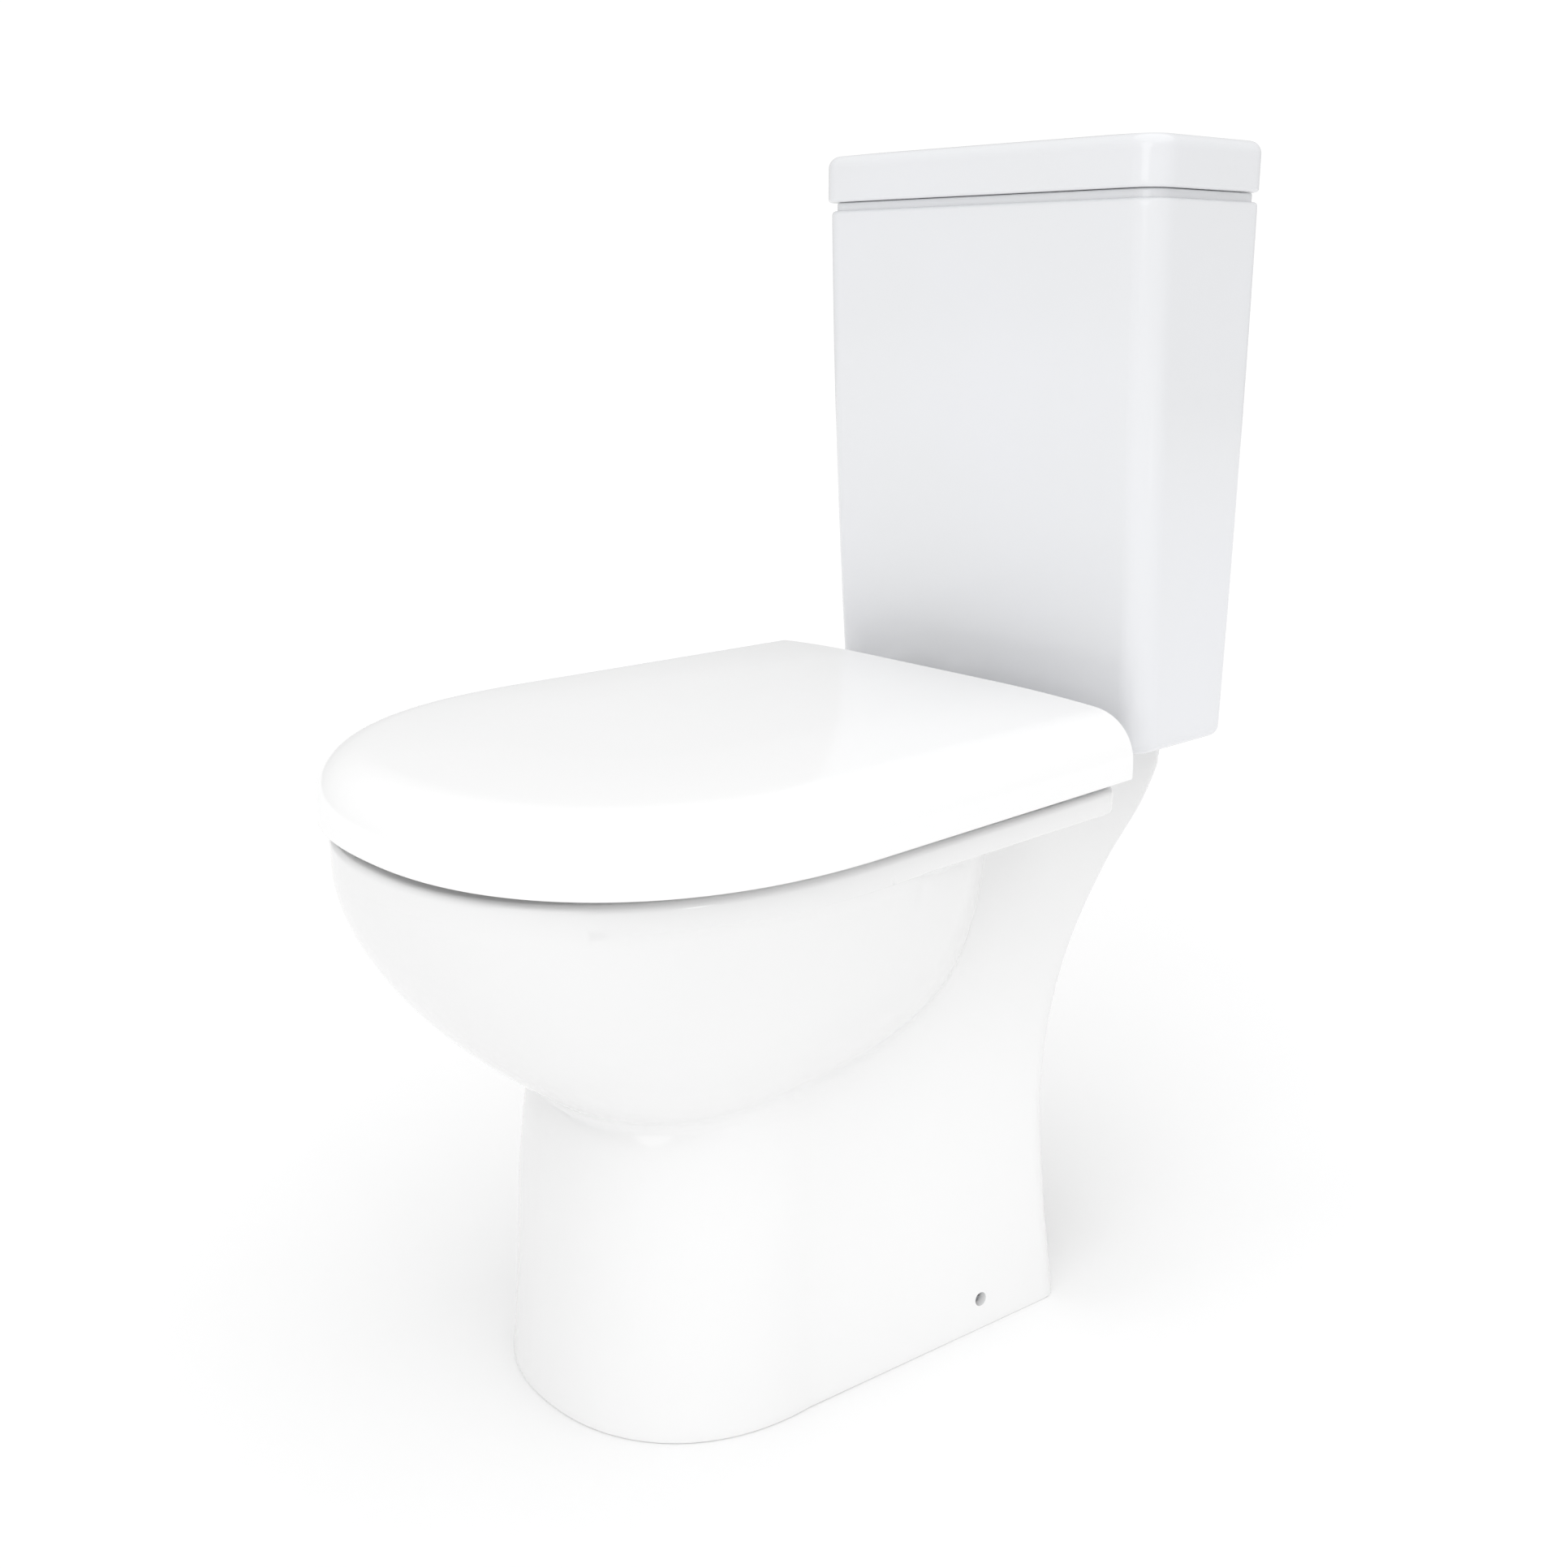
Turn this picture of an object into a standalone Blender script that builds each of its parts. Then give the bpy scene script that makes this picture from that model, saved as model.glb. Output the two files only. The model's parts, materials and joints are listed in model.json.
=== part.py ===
"""Close coupled toilet: pan, cistern, flush and fill valves, push button, seat and lid.

Metres, +Z up, +Y towards the wall, -Y to the front. The origin is on the floor, at the
middle of the footprint. Depths are given as distances forward of the wall.
"""
import math

import bmesh
import bpy
import numpy as np
from mathutils import Matrix, Vector

# Driving dimensions
DEPTH = 0.605                   # wall to the front of the seat lid
WALL_Y = DEPTH / 2
GAP = 0.0003                    # between touching pieces
WALL = 0.012                    # china wall of the pan

PLATFORM_Z = 0.389              # top of the cistern platform
RIM_TOP = 0.3935                # top of the rim slab, which stands above the platform
SLAB = 0.012                    # from the platform's top down to the slab's underside
MIDDLE = 0.385                  # where the bowl is widest, forward of the wall
RIM_HALF = 0.179
RIM_FRONT = 0.603
SLAB_REAR = 0.147
SLAB_REAR_HALF = 0.1745
SLAB_CORNER = 0.020
PLATFORM_HALF = 0.106
PLATFORM_REAR = 0.008
BOWL_FOOT_Z = 0.2062            # where the bowl's underside meets the pedestal's front
BOWL_FOOT_HALF = 0.0763
BOWL_FOOT_FRONT = 0.4688
BOWL_REAR_REACH = 0.2187        # behind the widest line
PLAN_POWER = 2.2                # superellipse power of the rounded plans

SPIGOT_Z = 0.180
SPIGOT_END = 0.100
SPIGOT_RADIUS = 0.051
SPIGOT_BORE = 0.043
TRAP_RADIUS = 0.032
INLET_RADIUS = 0.031

VALVE_DEPTH = 0.054             # flush valve, inlet and coupling bolts, forward of the wall
BOLT_X = 0.075
SIDE_HOLE_DEPTH = 0.223
SIDE_HOLE_Z = 0.023

TANK_BOTTOM = 0.397
TANK_TOP = 0.7612
TANK_HALF_TOP = 0.1505
TANK_HALF_BOTTOM = 0.1485
TANK_FRONT_TOP = 0.1185
TANK_FRONT_BOTTOM = 0.100
TANK_BACK = 0.0
TANK_WALL = 0.008
TANK_FLOOR = TANK_BOTTOM + 0.010
TANK_CORNER = 0.018
TANK_BACK_CORNER = 0.010
NECK_TOP = 0.7669               # raised rim inside the shadow gap
NECK_INSET = 0.004

LID_BOTTOM = 0.7672
LID_TOP = 0.7992
LID_CROWN = 0.8025
LID_HALF = 0.1525
LID_FRONT = 0.1215
LID_CORNER = 0.020
LID_BACK_CORNER = 0.014

BUTTON_DEPTH = 0.060
BUTTON_RADIUS = 0.0185
BUTTON_SINK = 0.0036             # from the lid's crown down to the bezel's flange
BEZEL_RADIUS = 0.0255
BUTTON_SPLIT = -0.0045          # the line between the two buttons

FILL_X = -0.118

HINGE_X = 0.0775
HINGE_DEPTH = 0.172
HINGE_Z = 0.416
PIN_RADIUS = 0.0035

SEAT_BOTTOM = 0.3985
SEAT_TOP = 0.419
SEAT_LID_EDGE = 0.3995
SEAT_LID_SHOULDER = 0.412
SEAT_LID_TOP = 0.4405
SEAT_LID_REAR = 0.152
SEAT_LID_REAR_HALF = 0.1830
SEAT_LID_HALF = 0.190
SEAT_LID_MIDDLE = 0.395
SEAT_LID_POWER = 2.3
SEAT_LID_WALL = 0.0055

# Finishes: sRGB colour, roughness, metallic
FINISHES = {
    "glazed_white": ((0.93, 0.93, 0.93), 0.08, 0.0),
    "glazed_cistern": ((0.90, 0.90, 0.91), 0.10, 0.0),
    "seat_plastic": ((0.94, 0.94, 0.94), 0.15, 0.0),
    "chrome": ((0.80, 0.80, 0.82), 0.08, 1.0),
    "steel": ((0.66, 0.66, 0.67), 0.30, 1.0),
    "valve_plastic": ((0.80, 0.82, 0.84), 0.40, 0.0),
    "valve_accent": ((0.20, 0.42, 0.66), 0.40, 0.0),
    "rubber": ((0.05, 0.05, 0.05), 0.70, 0.0),
    "buffer": ((0.85, 0.85, 0.84), 0.60, 0.0),
}


# Scene and material helpers

def clear_scene():
    for obj in list(bpy.data.objects):
        bpy.data.objects.remove(obj, do_unlink=True)


def new_collection(name):
    collection = bpy.data.collections.new(name)
    bpy.context.scene.collection.children.link(collection)
    return collection


def linear(value):
    return value / 12.92 if value <= 0.04045 else ((value + 0.055) / 1.055) ** 2.4


def new_material(name, finish):
    colour, roughness, metallic = FINISHES[finish]
    material = bpy.data.materials.new(name)
    material.use_nodes = True
    shader = material.node_tree.nodes["Principled BSDF"]
    shader.inputs["Base Color"].default_value = [linear(c) for c in colour] + [1.0]
    shader.inputs["Roughness"].default_value = roughness
    shader.inputs["Metallic"].default_value = metallic
    return material


def forward(distance):
    """The Y of a point this far forward of the wall."""
    return WALL_Y - distance


# Building helpers

def add_object(name, mesh, finish=None, location=(0, 0, 0)):
    """Put a mesh in the toilet's collection, or in the cutters' when it has no finish."""
    obj = bpy.data.objects.new(name, mesh)
    obj.location = location
    if finish is None:
        CUTTERS.objects.link(obj)
        obj.hide_render = True
        obj.display_type = "WIRE"
    else:
        TOILET.objects.link(obj)
        mesh.materials.append(new_material(name, finish))
    return obj


def mesh_from(bm, name, smooth=True):
    bmesh.ops.recalc_face_normals(bm, faces=bm.faces)
    mesh = bpy.data.meshes.new(name)
    bm.to_mesh(mesh)
    bm.free()
    if smooth:
        mesh.shade_smooth()
        mesh.set_sharp_from_angle(angle=math.radians(35))
    return mesh


def loft(name, rings, finish=None):
    """Skin a list of rings that have the same number of points, and cap both ends."""
    bm = bmesh.new()
    rows = [[bm.verts.new(point) for point in ring] for ring in rings]
    count = len(rows[0])
    for low, high in zip(rows, rows[1:]):
        for i in range(count):
            j = (i + 1) % count
            bm.faces.new((low[i], low[j], high[j], high[i]))
    bm.faces.new(rows[0])
    bm.faces.new(rows[-1])
    return add_object(name, mesh_from(bm, name), finish)


def box(name, low, high, finish=None):
    """An axis-aligned box between two corners."""
    bm = bmesh.new()
    size = Vector(high) - Vector(low)
    middle = (Vector(high) + Vector(low)) / 2
    bmesh.ops.create_cube(bm, size=1.0, matrix=Matrix.Translation(middle) @ Matrix.Diagonal((*size, 1.0)))
    return add_object(name, mesh_from(bm, name, smooth=False), finish)


def turned(name, profile, location, finish=None, steps=24, along_x=False):
    """Turn a closed profile of (radius, height) points about an axis through location.

    The profile starts at its outer top, runs down the outer side and returns up the inner
    side, or up the axis. The axis is vertical, or lies along X.
    """
    bm = bmesh.new()
    verts = [bm.verts.new((radius, 0, height)) for radius, height in profile]
    for i in range(len(verts)):
        a, b = verts[i], verts[(i + 1) % len(verts)]
        if a.co.x > 0 or b.co.x > 0:
            bm.edges.new((a, b))
    mesh = bpy.data.meshes.new(name)
    bm.to_mesh(mesh)
    bm.free()
    obj = add_object(name, mesh, finish, location)
    if along_x:
        obj.rotation_euler = (0, math.pi / 2, 0)
    screw = obj.modifiers.new("turn", "SCREW")
    screw.steps = steps
    screw.render_steps = steps
    screw.use_merge_vertices = True
    screw.merge_threshold = 0.00005
    screw.use_smooth_shade = True
    return obj


def disc(radius, bottom, top, inner=0.0):
    """The profile of a disc or, with an inner radius, of a washer."""
    return [(radius, top), (radius, bottom), (inner, bottom), (inner, top)]


def combine(target, other, operation):
    modifier = target.modifiers.new(other.name, "BOOLEAN")
    modifier.operation = operation
    modifier.object = other
    modifier.solver = "EXACT"


def cut(target, *cutters):
    for cutter in cutters:
        combine(target, cutter, "DIFFERENCE")


def join(target, *others):
    for other in others:
        combine(target, other, "UNION")


def tube(name, points, radius, resolution=3):
    """A round bar along a smooth curve through points, as a mesh with welded caps."""
    curve = bpy.data.curves.new(name, "CURVE")
    curve.dimensions = "3D"
    curve.bevel_depth = radius
    curve.bevel_resolution = resolution
    curve.use_fill_caps = True
    spline = curve.splines.new("POLY")
    spline.points.add(len(points) - 1)
    for target, point in zip(spline.points, points):
        target.co = (*point, 1.0)
    guide = bpy.data.objects.new(name, curve)
    CUTTERS.objects.link(guide)
    bpy.context.view_layer.update()
    evaluated = guide.evaluated_get(bpy.context.evaluated_depsgraph_get())
    mesh = bpy.data.meshes.new_from_object(evaluated)
    bm = bmesh.new()
    bm.from_mesh(mesh)
    bmesh.ops.remove_doubles(bm, verts=bm.verts, dist=0.00001)
    bmesh.ops.recalc_face_normals(bm, faces=bm.faces)
    bm.to_mesh(mesh)
    bm.free()
    place = guide.matrix_world.copy()
    bpy.data.objects.remove(guide, do_unlink=True)
    obj = add_object(name, mesh)
    obj.matrix_world = place
    return obj


def smooth_path(points, count):
    """Points along a Catmull-Rom curve through the given (depth, z) points, at x = 0."""
    given = [np.array(p, float) for p in points]
    given = [2 * given[0] - given[1]] + given + [2 * given[-1] - given[-2]]
    path = []
    for step in range(count + 1):
        place = step / count * (len(points) - 1)
        i = min(int(place), len(points) - 2)
        t = place - i
        a, b, c, d = given[i:i + 4]
        point = 0.5 * (2 * b + (c - a) * t + (2 * a - 5 * b + 4 * c - d) * t ** 2
                       + (3 * b - a - 3 * c + d) * t ** 3)
        path.append((0.0, forward(point[0]), point[1]))
    return path


# Plans: rings of points, seen from above

def front_arc(half, middle, front, count, power=PLAN_POWER):
    """A half superellipse from +X round the front to -X."""
    angle = np.linspace(0, math.pi, count)
    x = half * np.sign(np.cos(angle)) * np.abs(np.cos(angle)) ** (2 / power)
    depth = middle + (front - middle) * np.sin(angle) ** (2 / power)
    return np.column_stack([x, WALL_Y - depth])


def corner_arc(x, depth, radius, start, count=5):
    """A quarter circle inside a corner at (x, depth), turned anticlockwise from start degrees."""
    centre = np.array([x - math.copysign(radius, x), forward(depth + radius)])
    angle = np.radians(np.linspace(start, start + 90, count))
    return centre + radius * np.column_stack([np.cos(angle), np.sin(angle)])


def at_height(plan, z):
    return [(x, y, z) for x, y in plan]


def foot_plan(half_front, half_rear, middle, front, rear, corner=0.012):
    """A plan with a rounded front, straight sides and a flat rear with rounded corners."""
    right = corner_arc(half_rear, rear, corner, 0)
    left = corner_arc(-half_rear, rear, corner, 90)
    return np.vstack([front_arc(half_front, middle, front, 21)[::-1], right, left])


def egg_plan(half, middle, front, rear, power=PLAN_POWER):
    """A closed plan of two half superellipses, the front one and the rear one."""
    back = front_arc(half, middle, rear, 17, power)[1:-1]
    return np.vstack([front_arc(half, middle, front, 21, power), back[::-1]])


# The pan

def pedestal_rings(inset, bottom, top):
    """Sections of the pedestal, which narrows upwards into the cistern platform.

    Each level gives its height, half widths at the front and the rear, and the depths of
    its middle, front and rear.
    """
    levels = [
        (0.000, 0.1188, 0.139, 0.375, 0.500, 0.146),
        (0.080, 0.1150, 0.131, 0.373, 0.493, 0.151),
        (0.160, 0.1120, 0.123, 0.370, 0.488, 0.149),
        (0.205, 0.1090, 0.118, 0.365, 0.480, 0.138),
        (0.255, 0.1070, 0.112, 0.350, 0.450, 0.112),
        (0.310, 0.1060, 0.108, 0.330, 0.410, 0.066),
        (0.350, 0.1055, 0.106, 0.320, 0.390, 0.021),
        (0.383, 0.1050, 0.105, 0.310, 0.380, 0.009),
    ]
    heights = [level[0] for level in levels]
    wanted = [bottom] + [z for z in heights[1:-1] if bottom < z < top] + [top]
    rings = []
    for z in wanted:
        sizes = [np.interp(z, heights, [level[k] for level in levels]) for k in range(1, 6)]
        half_front, half_rear, middle, front, rear = sizes
        plan = foot_plan(half_front - inset, half_rear - inset, middle, front - inset, rear + inset)
        rings.append(at_height(plan, z))
    return rings


def bowl_rings():
    """Sections of the bowl's outside: its reach grows as a near parabola from foot to rim."""
    rings = []
    height = PLATFORM_Z - BOWL_FOOT_Z
    for fall in (0.985, 0.95, 0.88, 0.78, 0.65, 0.5, 0.33, 0.17, 0.035):
        reach = 1 - fall ** 1.92
        half = BOWL_FOOT_HALF + (RIM_HALF - 0.001 - BOWL_FOOT_HALF) * reach ** 0.70
        front = BOWL_FOOT_FRONT + (RIM_FRONT - 0.001 - BOWL_FOOT_FRONT) * reach ** 0.97
        rear = MIDDLE - BOWL_REAR_REACH * (1 - fall ** 12.4)
        rings.append(at_height(egg_plan(half, MIDDLE, front, rear), PLATFORM_Z - fall * height))
    return rings


def slab_plan(inset):
    """The rim slab's outline: a rounded front and nearly straight sides to its rear corners."""
    right = corner_arc(SLAB_REAR_HALF - inset, SLAB_REAR + inset, SLAB_CORNER - inset, 0)
    left = right[::-1] * [-1, 1]
    return np.vstack([front_arc(RIM_HALF - inset, MIDDLE, RIM_FRONT - inset, 31)[::-1], right, left])


def cavity_levels(offset, top):
    """Sections of the bowl's inside: a rim that overhangs, a flushing channel and the sump."""
    levels = [
        (0.100, 0.030, 0.360, 0.300), (0.130, 0.045, 0.393, 0.282), (0.180, 0.066, 0.440, 0.272),
        (0.225, 0.092, 0.474, 0.262), (0.275, 0.124, 0.526, 0.240), (0.325, 0.146, 0.566, 0.222),
        (0.359, 0.152, 0.581, 0.221), (0.371, 0.130, 0.556, 0.240),
    ]
    rings = []
    for z, half, front, rear in levels[:top]:
        plan = egg_plan(half + offset, 0.248 + 0.4 * rear, front + offset, rear - offset)
        rings.append(at_height(plan, z - (offset if z < 0.11 else 0)))
    return rings


def trap_route(longer=0.0):
    """The trapway's centre line: out of the sump, over the weir and down to the spigot."""
    return smooth_path([(0.330 + longer, 0.128), (0.285, 0.127), (0.246, 0.152), (0.226, 0.194),
                        (0.196, 0.222), (0.162, 0.206), (0.140, 0.184), (0.122 - longer, SPIGOT_Z)], 20)


def bar_along_y(name, x, z, radius, near, far, steps=24):
    """A round cutter or boss along Y, between two depths."""
    bm = bmesh.new()
    place = Matrix.Translation((x, forward((near + far) / 2), z)) @ Matrix.Rotation(math.pi / 2, 4, "X")
    bmesh.ops.create_cone(bm, cap_ends=True, segments=steps, radius1=radius, radius2=radius,
                          depth=abs(far - near), matrix=place)
    return add_object(name, mesh_from(bm, name))


def make_pan():
    pan = loft("pan", pedestal_rings(0.0, 0.0, 0.383), "glazed_white")
    slab = loft("rim_slab", [at_height(slab_plan(inset), z) for inset, z in
                             ((0.0015, PLATFORM_Z - SLAB), (0, PLATFORM_Z - SLAB + 0.0015),
                              (0, RIM_TOP - 0.003), (0.003, RIM_TOP))])
    platform = loft("platform", [
        at_height(rounded_plan(PLATFORM_HALF - inset, 0.280, PLATFORM_REAR + inset, 0.012, 0.012), z)
        for inset, z in ((0.0008, PLATFORM_Z - SLAB + 0.001), (0, PLATFORM_Z - SLAB + 0.002),
                         (0, PLATFORM_Z - 0.003), (0.003, PLATFORM_Z))])
    join(pan, loft("bowl_outside", bowl_rings()), slab, platform)
    hollow = loft("pedestal_hollow", pedestal_rings(WALL, -0.01, PLATFORM_Z - SLAB))
    rear_opening = box("rear_opening", (-0.084, forward(0.200), -0.01), (0.084, WALL_Y + 0.02, 0.300))
    cut(pan, hollow, rear_opening)

    bowl_wall = loft("bowl_wall", cavity_levels(0.010, 7))
    trap_wall = tube("trap_wall", trap_route(), TRAP_RADIUS + 0.009)
    spigot = bar_along_y("spigot", 0, SPIGOT_Z, SPIGOT_RADIUS, 0.150, SPIGOT_END, 32)
    water_box = loft("water_box", [at_height(foot_plan(half, half, 0.200, 0.238, rear, 0.020), z)
                                   for z, half, rear in ((0.318, 0.030, 0.075), (0.322, 0.040, 0.060),
                                                         (0.338, 0.046, 0.022), (0.350, 0.048, 0.011),
                                                         (0.382, 0.048, 0.0095))])
    join(pan, bowl_wall, trap_wall, spigot, water_box)

    rings = cavity_levels(0.0, 8)
    rings.append([(x, y, PLATFORM_Z + 0.01) for x, y, z in rings[-1]])
    bowl_cavity = loft("bowl_cavity", rings)
    trap_bore = tube("trap_bore", trap_route(0.004), TRAP_RADIUS)
    spigot_bore = bar_along_y("spigot_bore", 0, SPIGOT_Z, SPIGOT_BORE, 0.136, SPIGOT_END - 0.02, 32)
    inlet = turned("inlet_hole", disc(INLET_RADIUS, -0.046, 0.02),
                   (0, forward(VALVE_DEPTH), PLATFORM_Z), steps=32)
    channel = box("inlet_channel", (-0.034, forward(0.230), 0.331), (0.034, forward(0.045), 0.368))
    cut(pan, bowl_cavity, trap_bore, spigot_bore, inlet, channel)

    for side in (-1, 1):
        bolt_hole = turned("bolt_hole", disc(0.006, -0.02, 0.02),
                           (side * BOLT_X, forward(VALVE_DEPTH), PLATFORM_Z), steps=16)
        hinge_hole = turned("hinge_hole", disc(0.006, -0.03, 0.02),
                            (side * HINGE_X, forward(HINGE_DEPTH), RIM_TOP), steps=16)
        side_hole = turned("side_hole", disc(0.005, -0.020, 0.020),
                           (side * 0.128, forward(SIDE_HOLE_DEPTH), SIDE_HOLE_Z), steps=16, along_x=True)
        cut(pan, bolt_hole, hinge_hole, side_hole)


def make_floor_fixings():
    """Brackets that stand on the floor inside the pedestal, and the screws that hold the pan to them."""
    for side, word in ((-1, "left"), (1, "right")):
        near = sorted((side * 0.1015, side * 0.1145))
        foot = sorted((side * 0.070, side * 0.106))
        low = forward(SIDE_HOLE_DEPTH + 0.018)
        high = forward(SIDE_HOLE_DEPTH - 0.018)
        bracket = box("floor_bracket_" + word, (near[0], low, 0.0), (near[1], high, 0.045),
                      "valve_plastic")
        join(bracket, box("bracket_foot", (foot[0], low, 0.0), (foot[1], high, 0.006)))
        place = (side * 0.110, forward(SIDE_HOLE_DEPTH), SIDE_HOLE_Z)
        cut(bracket, turned("bracket_hole", disc(0.0034, -0.02, 0.02), place, steps=16, along_x=True))
        tip, neck, head = (side * 0.093, side * 0.1225, side * 0.1265)
        profile = [(0.0044, head), (0.0044, neck), (0.0030, neck), (0.0030, tip), (0, tip), (0, head)]
        if side < 0:
            profile = [(0.0030, tip), (0.0030, neck), (0.0044, neck), (0.0044, head), (0, head), (0, tip)]
        turned("side_screw_" + word, profile, (0, forward(SIDE_HOLE_DEPTH), SIDE_HOLE_Z), "steel",
               steps=12, along_x=True)


# The cistern

def rounded_plan(half, front, back, corner, back_corner, count=6):
    """A rectangle with rounded front corners and smaller rounded back corners."""
    middle_y = forward((front + back) / 2)
    reach = (front - back) / 2
    points = []
    for sx, sy, radius, start in ((1, 1, back_corner, 0), (-1, 1, back_corner, 90), (-1, -1, corner, 180),
                                  (1, -1, corner, 270)):
        centre = np.array([sx * (half - radius), middle_y + sy * (reach - radius)])
        angle = np.radians(np.linspace(start, start + 90, count))
        points.append(centre + radius * np.column_stack([np.cos(angle), np.sin(angle)]))
    return np.vstack(points)


def tank_plan(z, inset=0.0):
    """The tank's outline at a height: its sides and front lean in towards the bottom."""
    rise = (z - TANK_BOTTOM) / (TANK_TOP - TANK_BOTTOM)
    half = TANK_HALF_BOTTOM + (TANK_HALF_TOP - TANK_HALF_BOTTOM) * rise
    front = TANK_FRONT_BOTTOM + (TANK_FRONT_TOP - TANK_FRONT_BOTTOM) * rise
    plan = rounded_plan(half - inset, front - inset, TANK_BACK + inset, max(TANK_CORNER - inset, 0.004),
                        max(TANK_BACK_CORNER - inset, 0.004))
    return at_height(plan, z)


def make_tank():
    tank = loft("cistern_tank", [
        tank_plan(TANK_BOTTOM, 0.008), tank_plan(TANK_BOTTOM + 0.0025, 0.0025),
        tank_plan(TANK_BOTTOM + 0.008), tank_plan(TANK_TOP - 0.002), tank_plan(TANK_TOP, 0.002),
        tank_plan(TANK_TOP + 0.0001, NECK_INSET), tank_plan(NECK_TOP, NECK_INSET)], "glazed_cistern")
    inside = loft("tank_inside", [tank_plan(TANK_FLOOR, TANK_WALL + 0.004),
                                  tank_plan(TANK_FLOOR + 0.006, TANK_WALL),
                                  tank_plan(NECK_TOP + 0.01, TANK_WALL + 0.0015)])
    cut(tank, inside)
    valve_hole = turned("valve_hole", disc(0.0305, -0.02, 0.02), (0, forward(VALVE_DEPTH), TANK_BOTTOM))
    fill_hole = turned("fill_hole", disc(0.0105, -0.02, 0.02), (FILL_X, forward(VALVE_DEPTH), TANK_BOTTOM),
                       steps=16)
    cut(tank, valve_hole, fill_hole)
    for side in (-1, 1):
        cut(tank, turned("tank_bolt_hole", disc(0.0055, -0.02, 0.02),
                         (side * BOLT_X, forward(VALVE_DEPTH), TANK_BOTTOM), steps=16),
            bar_along_y("wall_screw_hole", side * 0.100, 0.715, 0.004, -0.01, 0.02, 12))


def lid_plan(inset, z):
    return at_height(rounded_plan(LID_HALF - inset, LID_FRONT - inset, TANK_BACK + inset,
                                  max(LID_CORNER - inset, 0.003), max(LID_BACK_CORNER - inset, 0.003)), z)


def make_cistern_lid():
    lid = loft("cistern_lid", [
        lid_plan(0.0015, LID_BOTTOM), lid_plan(0, LID_BOTTOM + 0.0015), lid_plan(0, LID_TOP - 0.006),
        lid_plan(0.0018, LID_TOP - 0.0018), lid_plan(0.006, LID_TOP), lid_plan(0.018, LID_TOP + 0.0014),
        lid_plan(0.030, LID_CROWN)], "glazed_cistern")
    recess = loft("lid_recess", [lid_plan(0.017, LID_BOTTOM - 0.01), lid_plan(0.018, LID_TOP - 0.009)])
    hole = turned("button_hole", disc(0.0215, -0.05, 0.05), (0, forward(BUTTON_DEPTH), LID_TOP), steps=32)
    sink = turned("button_sink", disc(BEZEL_RADIUS + 0.0007, -BUTTON_SINK - GAP, 0.02),
                  (0, forward(BUTTON_DEPTH), LID_CROWN), steps=32)
    cut(lid, recess, hole, sink)


def make_coupling():
    """The doughnut gasket between tank and pan, and the two bolts with their washers and nuts."""
    turned("coupling_gasket", disc(0.0440, PLATFORM_Z + GAP, TANK_BOTTOM - GAP, 0.0345),
           (0, forward(VALVE_DEPTH), 0), "rubber", steps=32)
    for side, word in ((-1, "left"), (1, "right")):
        place = (side * BOLT_X, forward(VALVE_DEPTH), 0)
        washer_top = TANK_FLOOR + 0.0045
        cone = [(0.008, washer_top), (0.012, TANK_FLOOR + GAP), (0.0043, TANK_FLOOR + GAP),
                (0.0043, washer_top)]
        turned("bolt_cone_washer_" + word, cone, place, "rubber", steps=20)
        head = washer_top + GAP
        bolt = [(0.0075, head + 0.005), (0.0075, head), (0.004, head), (0.004, 0.352), (0, 0.352),
                (0, head + 0.005)]
        turned("coupling_bolt_" + word, bolt, place, "steel", steps=16)
        under = PLATFORM_Z - SLAB - GAP
        turned("clamp_washer_" + word, disc(0.0105, under - 0.002, under, 0.0043), place, "steel",
               steps=20)
        make_wing_nut("coupling_wing_nut_" + word, place, under - 0.002 - GAP, 0.0043, "valve_plastic")


def make_wing_nut(name, place, top, bore, finish):
    """A hub with two wings across the front-to-back direction."""
    nut = turned(name, disc(0.0075, top - 0.009, top), place, finish, steps=16)
    x, y = place[:2]
    join(nut, box(name + "_wings", (x - 0.0017, y - 0.014, top - 0.0105),
                  (x + 0.0017, y + 0.014, top - 0.003)))
    cut(nut, turned(name + "_bore", disc(bore, top - 0.02, top + 0.01), place, steps=16))


# The flush valve and the push button

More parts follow.
